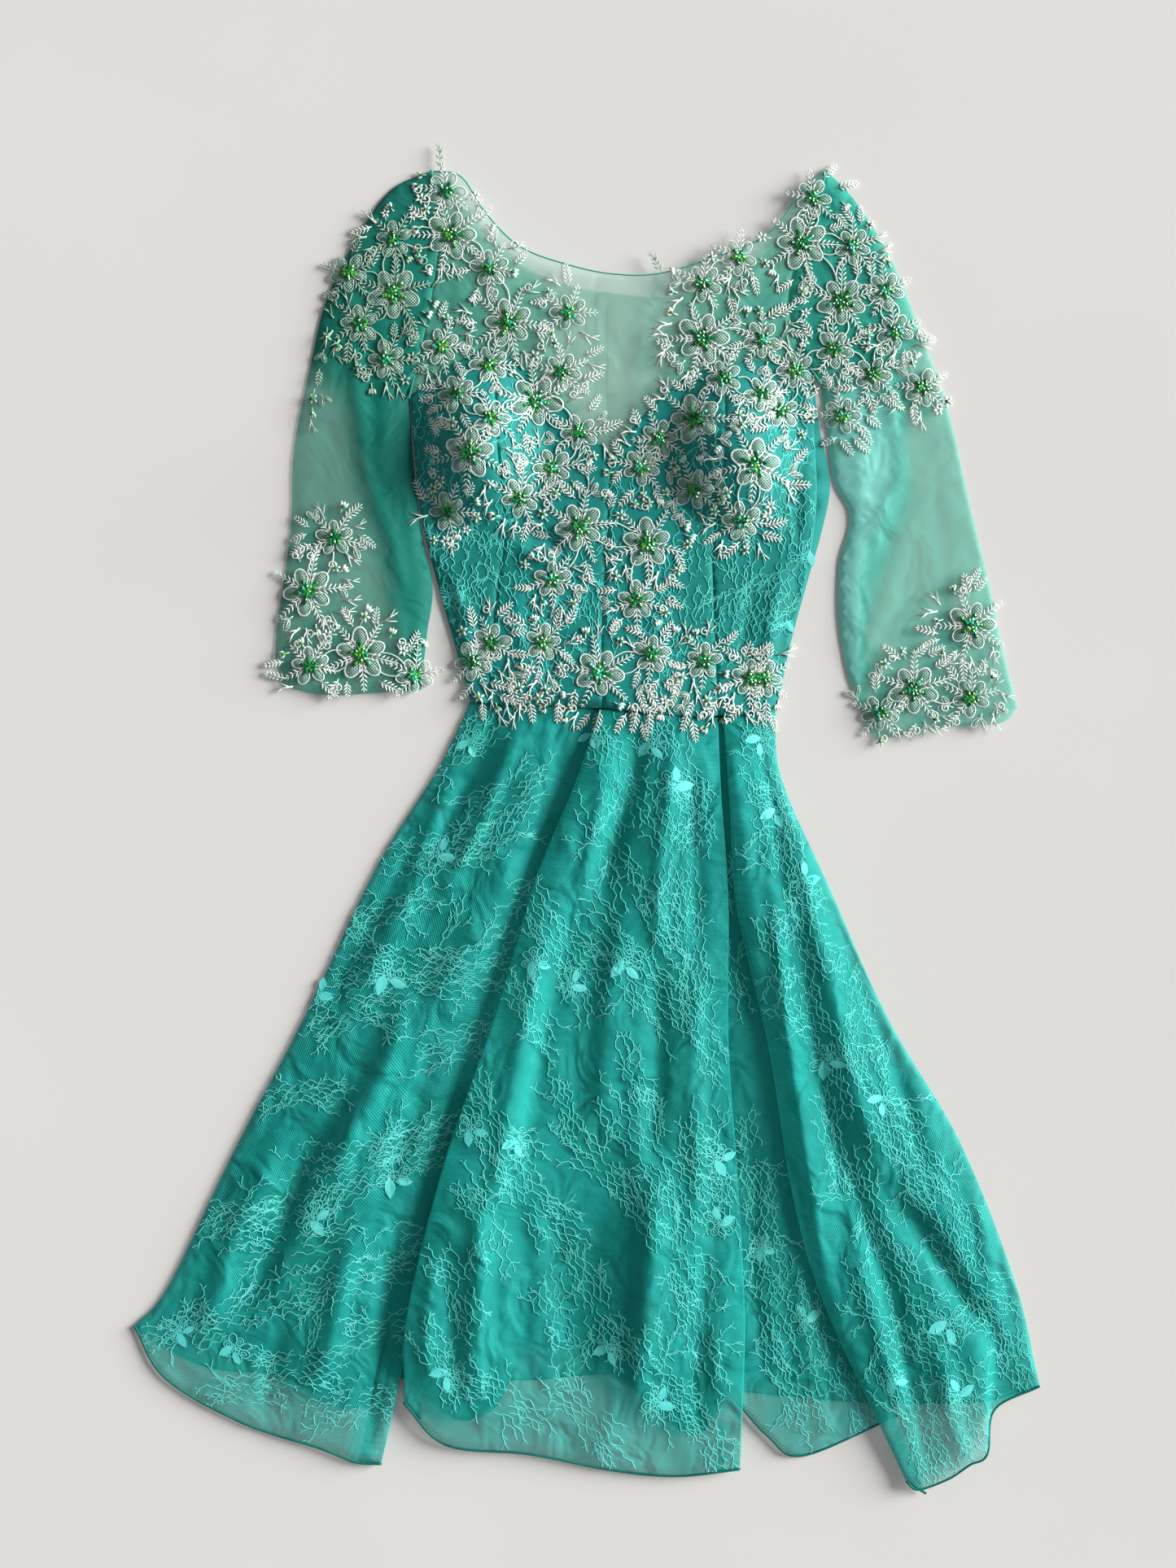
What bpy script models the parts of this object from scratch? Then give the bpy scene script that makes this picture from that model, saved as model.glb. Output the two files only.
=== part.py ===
# An embroidered party dress with a sheer yoke, three-quarter sleeves and a pleated skirt, laid flat on
# its back. The tables are in millimetres and the meshes in metres. +Z is up, +Y points at the neck,
# and the origin is on the surface under the middle of the garment.
import math

import bpy
from mathutils import Vector
from mathutils.geometry import delaunay_2d_cdt

MM = 0.001

# Walls and layers, in mm above the surface
WALL = 1.0
SEAM_GAP = 0.4
BACK_TOP = 1.2
LINING_BOTTOM = 1.6
LINING_TOP = 2.6
HIDDEN_EDGE = 1.5

# The front of the body: its height at the side seams, its crown, and the thicker crown at the waist
BODY_EDGE = 4.5
BODY_CROWN = 3.5
WAIST_CROWN = 6.5
WAIST_Y = 90.0
WAIST_REACH = 45.0

# Sleeves: height at the edges, and how much higher they stand away from them
SLEEVE_EDGE = 3.6
SLEEVE_CROWN = 1.6
SLEEVE_SOFT_EDGE = 22.0

# Skirt pleats: how far the cloth turns back under a fold edge, and the drop between the two layers
PLEAT_RETURN = 20.0
PLEAT_DROP = 3.0
INNER_PLEAT_DROP = 2.4
FOLD_ARC = (135.0, 180.0, 225.0)

# Applique: height of petals and bead cluster over the cloth, and the band sewn over the waist seam
PETAL_HEIGHT = 1.8
BEAD_HEIGHT = 2.6
BAND_WALL = 1.2
BAND_CLEARANCE = 0.4
BAND_TOP_Y = 160.0
BAND_BOTTOM_Y = 88.0
BAND_SCALLOP = 14.0
BAND_LIFT = 0.07
BODICE_APPLIQUE_FROM_Y = 182.0

# Concealed zip in the centre back
ZIP_X = 14.0
ZIP_HALF_WIDTH = 5.0
ZIP_FOOT_Y = -60.0

LACE_TEAL = (0.012, 0.35, 0.27, 1.0)
LINING_TEAL = (0.008, 0.24, 0.19, 1.0)
ORGANZA_GREEN = (0.22, 0.52, 0.40, 1.0)
APPLIQUE_WHITE = (0.74, 0.87, 0.79, 1.0)

# Seam lines of the body, from top to bottom, as (x, y)
SIDE_LEFT = ((-152, 360), (-149, 317), (-142, 255), (-128, 199), (-114, 150), (-101, 101))
PRINCESS_LEFT = ((-80, 399), (-77, 325), (-71, 245), (-77, 199), (-82, 150), (-85, 98))
CENTRE_FRONT = ((20, 310), (18, 269), (15, 213), (13, 178), (12, 143), (13, 94))
PRINCESS_RIGHT = ((117, 388), (117, 315), (108, 241), (108, 192), (110, 147), (112, 88))
SIDE_RIGHT = ((193, 378), (195, 332), (197, 269), (188, 205), (174, 150), (163, 93))
BACK_SIDE_RIGHT = ((194, 378), (200, 333), (209, 288), (202, 247), (190, 205), (175, 150), (163, 93))
WAIST_SEAM = ((-101, 100), (-60, 96), (13, 93), (82, 87), (112, 86), (163, 93))
SWEETHEART_LEFT = ((-152, 362), (-117, 388), (-80, 399), (-43, 376), (-7, 341), (20, 310))
SWEETHEART_RIGHT = ((20, 310), (51, 348), (83, 376), (117, 388), (153, 391), (189, 389))
NECK = ((-132, 555), (-108, 550), (-88, 520), (-58, 490), (-16, 474), (23, 466),
        (65, 467), (121, 485), (157, 502), (184, 536), (204, 554))
BACK_NECK = ((-131, 540), (-103, 512), (-71, 482), (-22, 460), (14, 452), (76, 448),
             (125, 465), (167, 498), (202, 545))
ARMHOLE_LEFT = ((-134, 556), (-129, 520), (-129, 484), (-139, 423), (-153, 360))
ARMHOLE_RIGHT = ((206, 556), (185, 493), (174, 444), (184, 400), (201, 372))

# Sleeve edges: outer from cuff to shoulder, inner from underarm to cuff, and the cuff from inner to outer
SLEEVE_LEFT = {
    "armhole": ARMHOLE_LEFT,
    "inner": ((-153, 360), (-150, 311), (-143, 248), (-133, 198), (-138, 157), (-143, 110)),
    "cuff": ((-143, 110), (-183, 107), (-223, 105), (-262, 112)),
    "outer": ((-262, 112), (-268, 150), (-255, 248), (-252, 317), (-236, 397), (-224, 445),
              (-201, 493), (-170, 538), (-134, 556)),
}
SLEEVE_RIGHT = {
    "armhole": ARMHOLE_RIGHT,
    "inner": ((201, 372), (206, 333), (212, 290), (224, 265), (225, 250), (216, 209), (220, 142),
              (237, 87), (248, 66)),
    "cuff": ((248, 66), (280, 73), (307, 78), (355, 81), (370, 94)),
    "outer": ((370, 94), (356, 150), (345, 203), (329, 269), (310, 352), (286, 418), (265, 472),
              (234, 525), (206, 556)),
}

# Soft folds of the sleeves: a ridge from one end to the other, its height and its half width
SLEEVE_FOLDS = (
    # x0, y0, x1, y1, height, half width
    (-198, 353, -156, 201, 1.3, 9),
    (-176, 430, -172, 300, 1.0, 8),
    (-150, 330, -146, 190, 0.8, 7),
    (268, 353, 246, 238, 1.4, 9),
    (275, 238, 241, 149, 1.2, 10),
    (232, 330, 236, 262, 0.9, 8),
)

# Moulded cups
CUPS = (
    # x, y, half width, reach up, reach down, height
    (-92, 311, 57, 86, 64, 29.0),
    (127, 311, 57, 80, 66, 29.0),
)

# Fold lines of the skirt front. Each row is one fold line with its place (x, y) and height z at seven
# stations, which are the waist seam, the pleat tops, the hip, the thigh, mid skirt, the knee and the
# hem. The waist's y comes from the waist seam.
LEFT_GORE = (
    ("side", (-100, 0, 2.4), (-128, 42, 2.4), (-181, -43, 2.4), (-243, -172, 2.6), (-302, -284, 2.6),
     (-360, -403, 2.4), (-389, -437, 2.2)),
    ("outer", (-85, 0, 4.2), (-106, 35, 6), (-148, -56, 7), (-201, -182, 8), (-250, -298, 8),
     (-309, -424, 6), (-362, -482, 3.2)),
    ("middle", (-61, 0, 6.6), (-78, 28, 9), (-112, -67, 10), (-159, -189, 11), (-204, -305, 12),
     (-252, -431, 10), (-296, -520, 4)),
    ("ridge", (-29, 0, 8.6), (-47, 21, 13), (-81, -77, 15), (-121, -154, 15), (-155, -277, 13),
     (-197, -424, 11), (-231, -541, 5.5)),
    ("channel", (-9, 0, 7), (-26, 14, 6.5), (-54, -84, 6.4), (-92, -200, 6.2), (-131, -312, 6.2),
     (-168, -431, 6.2), (-200, -553, 5.6)),
    ("inner", (19, 0, 6.4), (5, 14, 6.2), (-21, -84, 6.2), (-57, -200, 6.2), (-106, -312, 6.2),
     (-147, -431, 6.2), (-177, -555, 6)),
)
CENTRE_GORE = (
    ("left edge", (10, 0, 11.2), (-9, 33, 11.4), (-44, -53, 11.6), (-81, -176, 11.6), (-122, -294, 11.6),
     (-154, -424, 11.4), (-157, -502, 9)),
    ("turn", (21, 0, 12.4), (5, 30, 14), (-22, -56, 15), (-54, -180, 15), (-89, -299, 15),
     (-120, -424, 14), (-121, -538, 8)),
    ("inner", (40, 0, 12.2), (30, 26, 13.5), (13, -61, 13), (-12, -184, 13), (-37, -303, 14),
     (-57, -427, 16), (-50, -546, 7)),
    ("middle", (59, 0, 12.4), (55, 23, 15.5), (48, -65, 17), (37, -187, 16), (25, -306, 14),
     (16, -431, 12), (21, -560, 6)),
    ("outer", (82, 0, 11.6), (84, 20, 14.5), (84, -67, 15), (78, -190, 16), (73, -309, 17),
     (72, -434, 16), (76, -565, 6.5)),
    ("right edge", (112, 0, 8.8), (115, 17, 10.6), (121, -70, 11.2), (121, -193, 11.4), (129, -312, 11.4),
     (135, -436, 11.2), (131, -559, 8)),
)
INSET_GORE = (
    ("left", (103, 0, 3.9), (103, 16, 4.2), (105, -71, 4.8), (108, -194, 5), (112, -312, 5),
     (117, -434, 5), (123, -495, 3.6)),
    ("inner", (110, 0, 3.9), (117, 14, 4.4), (124, -72, 5.4), (133, -196, 6), (142, -313, 6),
     (153, -436, 6), (156, -532, 3.6)),
    ("outer", (120, 0, 3.9), (126, 14, 4.4), (140, -74, 5.2), (160, -197, 5.4), (177, -315, 5.4),
     (195, -438, 5.2), (186, -548, 3.6)),
    ("right", (127, 0, 3.9), (139, 13, 4.2), (156, -74, 4.6), (184, -197, 4.8), (216, -313, 4.8),
     (237, -434, 4.6), (268, -513, 3.4)),
)
RIGHT_GORE = (
    ("under edge", (116.5, 0, 8.6), (122, 14, 10.6), (128, -77, 11.2), (156, -200, 11.2),
     (175, -319, 11.2), (203, -417, 11), (274, -570, 8)),
    ("fold", (121, 0, 8.5), (131, 14, 13), (143, -75, 15), (170, -198, 15), (198, -316, 15.5),
     (220, -419, 14.5), (284, -576.2, 9)),
    ("inner", (128, 0, 7.4), (141, 17, 12), (160, -72, 14), (197, -196, 14.5), (234, -312, 13.5),
     (265, -420, 13), (310, -567, 9)),
    ("middle", (138, 0, 6.2), (152, 20, 10), (175, -70, 12), (223, -191, 13), (269, -305, 14),
     (300, -410, 13), (328, -555, 9)),
    ("flap", (147, 0, 5.2), (160, 24, 7.5), (188, -64, 9), (243, -182, 10), (293, -291, 11),
     (331, -418, 13), (343, -546, 9)),
    ("valley", (154, 0, 4.1), (163, 28, 5), (196, -60, 6), (257, -176, 6.5), (311, -285, 5.5),
     (349, -410, 3.4), (350, -509, 2.6)),
    ("side", (161.5, 0, 2.6), (167, 33, 2.4), (208, -60, 2.4), (260, -176, 2.4), (320, -278, 2.4),
     (367, -397, 2.4), (389, -489, 2.2)),
)

BACK_HEM = ((-384, -443), (-340, -466), (-295, -476), (-163, -477), (-57, -483), (27, -478),
            (128, -492), (237, -502), (335, -502), (387, -488))
LINING_HEM = ((-322, -450), (-285, -468), (-231, -495), (-192, -508), (-165, -478), (-113, -516),
              (-77, -503), (-46, -450), (27, -480), (90, -530), (128, -490), (195, -484), (265, -485),
              (315, -478), (340, -462))

# Applique flowers: (x, y) of the middle, on the body, the sleeves and the waist band
LARGE_FLOWER = 29.0
SMALL_FLOWER = 20.0
LARGE_FLOWERS = (
    (-117, 500), (-166, 450), (-68, 424), (-100, 310), (-44, 357), (-7, 249), (51, 235), (99, 411),
    (218, 443), (92, 341), (143, 300), (10, 124), (-240, 194), (-194, 140), (330, 165), (280, 110),
)
SMALL_FLOWERS = (
    (-84, 471), (-166, 496), (-195, 423), (-126, 404), (-172, 393), (-16, 433), (-112, 362), (-7, 318),
    (-30, 300), (-58, 273), (99, 458), (130, 481), (150, 410), (190, 500), (228, 490), (205, 400),
    (264, 417), (256, 452), (245, 380), (288, 369), (219, 335), (91, 280), (62, 325), (-82, 150),
    (-38, 150), (55, 140), (100, 134), (140, 119), (-30, 204), (42, 200), (-217, 240), (-238, 130),
    (166, 340), (125, 256), (-120, 265),
)

SPRIGS = (
    # name, root x, root y, length, direction in degrees, leaf length
    ("sprig_shoulder", -125.5, 555.0, 25.6, 93.0, 11.0),
    ("sprig_neck", 64.0, 467.6, 18.0, 118.0, 8.0),
)
SPRIG_THICKNESS = 1.5


def smooth(points, steps):
    """Points on a curve through the given ones, with this many steps between each two."""
    vectors = [Vector(point) for point in points]
    ends = [vectors[0] * 2 - vectors[1]] + vectors + [vectors[-1] * 2 - vectors[-2]]
    curve = []
    for before, start, end, after in zip(ends, ends[1:], ends[2:], ends[3:]):
        for step in range(steps):
            t = step / steps
            curve.append(
                0.5 * (2 * start + (end - before) * t
                       + (2 * before - 5 * start + 4 * end - after) * t ** 2
                       + (3 * start - before - 3 * end + after) * t ** 3)
            )
    curve.append(vectors[-1])
    return curve


def between(line, x, along=0):
    """The other coordinate of a line of points where its first (along=0) or second (along=1) is x."""
    rows = sorted((point[along], point[1 - along]) for point in line)
    if x <= rows[0][0]:
        return rows[0][1]
    for (x0, y0), (x1, y1) in zip(rows, rows[1:]):
        if x <= x1:
            return y0 + (y1 - y0) * (x - x0) / (x1 - x0)
    return rows[-1][1]


def distance(line, x, y):
    """How far a point is from a line of points."""
    spot = Vector((x, y))
    nearest = math.inf
    for start, end in zip(line, line[1:]):
        run = Vector(end) - Vector(start)
        t = max(0.0, min(1.0, (spot - Vector(start)).dot(run) / run.length_squared))
        nearest = min(nearest, (spot - Vector(start) - run * t).length)
    return nearest


def soft_step(t):
    t = max(0.0, min(1.0, t))
    return t * t * (3 - 2 * t)


def area(outline):
    turns = zip(outline, outline[1:] + outline[:1])
    return 0.5 * sum(a[0] * b[1] - b[0] * a[1] for a, b in turns)


def inward(outline, index, amount):
    """A point of an outline that runs anticlockwise, moved in by this amount."""
    here = Vector(outline[index][:2])
    before = (here - Vector(outline[index - 1][:2])).normalized()
    after = (Vector(outline[(index + 1) % len(outline)][:2]) - here).normalized()
    normal = Vector((-before.y - after.y, before.x + after.x))
    if normal.length < 1e-6:
        normal = Vector((-before.y, before.x)) * 2
    square = max(0.5, normal.length / 2)
    return here + normal.normalized() * amount / square


def closed_outline(*lines):
    """One anticlockwise outline from lines that meet end to end, set back by half a seam gap."""
    outline = []
    for line in lines:
        outline += [Vector(point[:2]) for point in line[:-1]]
    if area(outline) < 0:
        outline.reverse()
    return [inward(outline, index, SEAM_GAP / 2) for index in range(len(outline))]


def is_inside(outline, x, y):
    inside = False
    for start, end in zip(outline, outline[1:] + outline[:1]):
        if (start[1] > y) != (end[1] > y):
            if x < start[0] + (end[0] - start[0]) * (y - start[1]) / (end[1] - start[1]):
                inside = not inside
    return inside


def clear_points(outline, points, margin):
    """The points that lie inside an outline by at least a margin."""
    loop = outline + outline[:1]
    return [p for p in points if is_inside(outline, *p) and distance(loop, *p) > margin]


def grid_points(outline, pitch, keep_off=()):
    """A staggered grid over an outline, left out near the flowers in keep_off."""
    low_x = min(p[0] for p in outline)
    low_y = min(p[1] for p in outline)
    rows = int((max(p[1] for p in outline) - low_y) / (pitch * 0.87)) + 1
    columns = int((max(p[0] for p in outline) - low_x) / pitch) + 2
    points = []
    for row in range(rows):
        for column in range(columns):
            x = low_x + pitch * (column + 0.5 * (row % 2))
            y = low_y + pitch * 0.87 * row
            if all(math.hypot(x - fx, y - fy) > radius * 1.2 for fx, fy, radius, _ in keep_off):
                points.append((x, y))
    return clear_points(outline, points, pitch * 0.35)


def flowers_on(outline):
    """The flowers whose middle is on a piece, each as (x, y, radius, turn)."""
    sized = [(x, y, LARGE_FLOWER) for x, y in LARGE_FLOWERS] + [(x, y, SMALL_FLOWER) for x, y in SMALL_FLOWERS]
    found = []
    for index, (x, y, radius) in enumerate(sized):
        if is_inside(outline, x, y):
            found.append((x, y, radius, index * 0.7))
    return found


def flower_points(flowers):
    """The points that shape each flower: its middle, petals, tips, notches and foot."""
    points = []
    for x, y, radius, turn in flowers:
        points.append((x, y))
        for petal in range(5):
            middle = turn + petal * math.tau / 5
            notch = middle + math.tau / 10
            for share, angle in ((0.5, middle), (0.93, middle), (1.08, middle), (0.5, notch), (0.72, notch)):
                points.append((x + radius * share * math.cos(angle), y + radius * share * math.sin(angle)))
    return points


def relief(flowers, x, y):
    """Height of the applique over the cloth at a point."""
    highest = 0.0
    for fx, fy, radius, turn in flowers:
        reach = math.hypot(x - fx, y - fy) / radius
        lobe = abs(math.cos(2.5 * (math.atan2(y - fy, x - fx) - turn)))
        edge = 0.62 + 0.4 * lobe ** 0.8
        if reach < 0.12:
            highest = max(highest, BEAD_HEIGHT)
        elif reach < edge:
            highest = max(highest, PETAL_HEIGHT * (0.35 + 0.65 * lobe))
    return highest


def mesh_object(name, points, faces, colour, roughness):
    mesh = bpy.data.meshes.new(name)
    mesh.from_pydata([Vector(point) * MM for point in points], [], faces)
    mesh.validate()
    piece = bpy.data.objects.new(name, mesh)
    bpy.context.scene.collection.objects.link(piece)
    material = bpy.data.materials.new(name)
    material.use_nodes = True
    finish = material.node_tree.nodes["Principled BSDF"]
    finish.inputs["Base Color"].default_value = colour
    finish.inputs["Roughness"].default_value = roughness
    finish.inputs["Metallic"].default_value = 0.0
    mesh.materials.append(material)
    return piece


class Shell:
    """Points and faces of one piece of cloth, with skins that share the outline's corners."""

    def __init__(self):
        self.points = []
        self.faces = []

    def skin(self, outline, inner, height, faces_up):
        """Adds one triangulated surface over an outline, and returns the outline's point numbers."""
        flat = [Vector(point[:2]) for point in outline] + [Vector(point) for point in inner]
        result = delaunay_2d_cdt(flat, [], [list(range(len(outline)))], 1, 1e-4)
        spots, triangles, origins = result[0], result[2], result[3]
        first = len(self.points)
        self.points += [(spot.x, spot.y, height(spot.x, spot.y)) for spot in spots]
        for triangle in triangles:
            rises = area([spots[corner] for corner in triangle]) > 0
            corners = [first + corner for corner in triangle]
            self.faces.append(corners if rises == faces_up else corners[::-1])
        place = {origin: new for new, group in enumerate(origins) for origin in group}
        return [first + place[index] for index in range(len(outline))]

    def bridge(self, upper, lower, keep=None):
        """Joins two rings of points with a wall that faces out of an anticlockwise outline."""
        for index in range(len(upper)):
            if keep is None or keep[index]:
                after = (index + 1) % len(upper)
                self.faces.append((upper[index], lower[index], lower[after], upper[after]))


def panel(name, outline, top, bottom, colour, roughness, flowers=(), top_pitch=20.0, bottom_pitch=26.0):
    """A piece of cloth between two height functions, with its flowers raised in the top alone."""
    shell = Shell()
    raised = clear_points(outline, flower_points(flowers), 1.2)
    upper = shell.skin(outline, raised + grid_points(outline, top_pitch, flowers), top, True)
    lower = shell.skin(outline, grid_points(outline, bottom_pitch), bottom, False)
    shell.bridge(upper, lower)
    return mesh_object(name, shell.points, shell.faces, colour, roughness)


def level(height):
    return lambda x, y: height


def body_height(x, y):
    """Height of the front of the body without its applique."""
    left = between(SIDE_LEFT + ARMHOLE_LEFT[:4], y, along=1)
    right = between(SIDE_RIGHT + ARMHOLE_RIGHT[:4], y, along=1)
    across = (x - (left + right) / 2) / ((right - left) / 2)
    crown = BODY_CROWN + WAIST_CROWN * math.exp(-((y - WAIST_Y) / WAIST_REACH) ** 2)
    height = BODY_EDGE + crown * max(0.0, 1 - across ** 2)
    for cup_x, cup_y, half_width, up, down, rise in CUPS:
        reach = math.hypot((x - cup_x) / half_width, (y - cup_y) / (up if y > cup_y else down))
        if reach < 1:
            height += rise * math.cos(reach * math.pi / 2) ** 1.2
    return height


def body_panel(name, outline, colour, roughness, pitch):
    flowers = [f for f in flowers_on(outline) if f[1] - f[2] > BODICE_APPLIQUE_FROM_Y]
    return panel(
        name, outline,
        top=lambda x, y: body_height(x, y) + relief(flowers, x, y),
        bottom=lambda x, y: body_height(x, y) - WALL,
        colour=colour, roughness=roughness, flowers=flowers, top_pitch=pitch, bottom_pitch=pitch * 1.3,
    )


def sleeve_height(edges, x, y):
    """Height of a sleeve's upper layer without its applique."""
    near = min(distance(edges["outer"], x, y), distance(edges["inner"], x, y))
    height = SLEEVE_EDGE + SLEEVE_CROWN * soft_step(near / SLEEVE_SOFT_EDGE)
    for x0, y0, x1, y1, rise, half_width in SLEEVE_FOLDS:
        off = distance(((x0, y0), (x1, y1)), x, y) / half_width
        height += rise * soft_step(1 - off) * soft_step(near / SLEEVE_SOFT_EDGE)
    return height


def sleeve(name, edges):
    """An open tube laid flat: the armhole and the cuff are its two ends."""
    outline, ends = [], []
    for side in ("armhole", "inner", "cuff", "outer"):
        line = smooth(edges[side], 3 if side in ("armhole", "cuff") else 2)
        outline += [Vector(point) for point in line[:-1]]
        ends += [side in ("armhole", "cuff")] * (len(line) - 1)
    if area(outline) < 0:
        outline.reverse()
        ends = ends[::-1][1:] + ends[::-1][:1]
    outline = [inward(outline, index, SEAM_GAP / 2) for index in range(len(outline))]
    count = len(outline)
    hollow = []
    for index, point in enumerate(outline):
        before, after = ends[index - 1], ends[index]
        if before and after:
            hollow.append(point)
        elif before:
            hollow.append(point + (outline[index - 1] - point).normalized() * WALL)
        elif after:
            hollow.append(point + (outline[(index + 1) % count] - point).normalized() * WALL)
        else:
            hollow.append(inward(outline, index, WALL))
    flowers = flowers_on(outline)
    raised = clear_points(outline, flower_points(flowers), 1.2)
    shell = Shell()
    upper = shell.skin(
        outline, raised + grid_points(outline, 20, flowers),
        lambda x, y: sleeve_height(edges, x, y) + relief(flowers, x, y), True,
    )
    lower = shell.skin(outline, [], level(0.0), False)
    ceiling = shell.skin(hollow, grid_points(hollow, 24), lambda x, y: sleeve_height(edges, x, y) - WALL, False)
    floor = shell.skin(hollow, [], level(WALL), True)
    sides = [not end for end in ends]
    shell.bridge(upper, lower, sides)
    shell.bridge(floor, ceiling, sides)
    shell.bridge(upper, ceiling, ends)
    shell.bridge(floor, lower, ends)
    for index in range(count):
        if ends[index - 1] != ends[index]:
            corner = (upper[index], lower[index], floor[index], ceiling[index])
            shell.faces.append(corner if ends[index] else corner[::-1])
    return mesh_object(name, shell.points, shell.faces, ORGANZA_GREEN, 0.55)


def turned_edge(edge, beside, drop):
    """The section of a fold edge, from the end of the hidden layer, round the fold, to the top."""
    inwards = (Vector(beside[:2]) - Vector(edge[:2])).normalized()
    radius = drop / 2
    middle = Vector(edge[:2]) + inwards * radius
    low, high = edge[2] - drop, edge[2]
    section = [(*(Vector(edge[:2]) + inwards * PLEAT_RETURN * share), low) for share in (1.0, 0.5)]
    section.append((*middle, low))
    for angle in FOLD_ARC[::-1]:
        turn = math.radians(angle)
        section.append((*(middle + inwards * radius * math.cos(turn)), high - radius + radius * math.sin(turn)))
    section.append((*middle, high))
    return [Vector(point) for point in section]


def gore(name, folds, left_drop=None, right_drop=None):
    """One gore of the skirt front, lofted through its fold lines, with its fold edges turned under."""
    lines = []
    for row in folds:
        stations = [list(station) for station in row[1:]]
        stations[0][1] = between(WAIST_SEAM, stations[0][0]) - SEAM_GAP
        lines.append(smooth(stations, 3))
    stations = len(lines[0])
    rows = []
    for station in range(stations):
        across = [line[station] for line in lines]
        flat = smooth(across, 2)
        if left_drop:
            flat = turned_edge(flat[0], across[1], left_drop) + flat[1:]
        if right_drop:
            flat = flat[:-1] + turned_edge(flat[-1], across[-2], right_drop)[::-1]
        rows.append(flat)
    width = len(rows[0])
    points = [point for row in rows for point in row]
    faces = []
    for down in range(stations - 1):
        for along in range(width - 1):
            corner = down * width + along
            faces.append((corner, corner + width, corner + width + 1, corner + 1))
    piece = mesh_object(name, points, faces, LACE_TEAL, 0.6)
    wall = piece.modifiers.new("cloth", "SOLIDIFY")
    wall.thickness = WALL * MM
    wall.offset = 0.0
    return piece


def zip_slot(line):
    """A left to right line with the zip's slot cut down into it."""
    edge_left = ZIP_X - ZIP_HALF_WIDTH
    edge_right = ZIP_X + ZIP_HALF_WIDTH
    top_left = (edge_left, between(line, edge_left))
    top_right = (edge_right, between(line, edge_right))
    slot = [top_left, (edge_left, ZIP_FOOT_Y), (edge_right, ZIP_FOOT_Y), top_right]
    return [p for p in line if p[0] < edge_left] + slot + [p for p in line if p[0] > edge_right]


def cut_at(line, x, keep_left):
    """The part of a line on one side of x, ended exactly at x."""
    end = (x, between(line, x))
    if keep_left:
        return [point for point in line if point[0] < x] + [end]
    return [end] + [point for point in line if point[0] > x]


def skirt_side(gore_table, row, count=4):
    """A fold line of the skirt in plan, from under the waist to the hem."""
    name, waist, *stations = gore_table[row]
    return smooth([(waist[0], between(WAIST_SEAM, waist[0]))] + [s[:2] for s in stations], count)


def make_skirt():
    left_side = skirt_side(LEFT_GORE, 0)
    right_side = skirt_side(RIGHT_GORE, -1)
    waist = [(x, y - SEAM_GAP) for x, y in zip_slot(WAIST_SEAM)]
    left_side[0], right_side[0] = Vector(waist[0]), Vector(waist[-1])
    hem = smooth([left_side[-1]] + list(BACK_HEM[1:-1]) + [right_side[-1]], 2)
    outline = closed_outline(waist, right_side, hem[::-1], left_side[::-1])
    panel("skirt_back", outline, level(BACK_TOP), level(0.0), LACE_TEAL, 0.6, top_pitch=90, bottom_pitch=90)

    inset = 26.0
    lining_left = [(p[0] + inset, p[1]) for p in left_side[:-2]]
    lining_right = [(p[0] - inset, p[1]) for p in right_side[:-3]]
    top = [lining_left[0]] + [(x, y - 2) for x, y in WAIST_SEAM[1:-1]] + [lining_right[0]]
    lining_hem = [lining_left[-1]] + list(LINING_HEM) + [lining_right[-1]]
    outline = closed_outline(top, lining_right, lining_hem[::-1], lining_left[::-1])
    panel("skirt_lining", outline, level(LINING_TOP), level(LINING_BOTTOM), LINING_TEAL, 0.35,
          top_pitch=90, bottom_pitch=90)

    gore("skirt_front_left", LEFT_GORE, right_drop=INNER_PLEAT_DROP)
    gore("skirt_front_centre", CENTRE_GORE, left_drop=PLEAT_DROP, right_drop=PLEAT_DROP)
    gore("skirt_front_inset", INSET_GORE)
    gore("skirt_front_right", RIGHT_GORE, left_drop=PLEAT_DROP)


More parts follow.
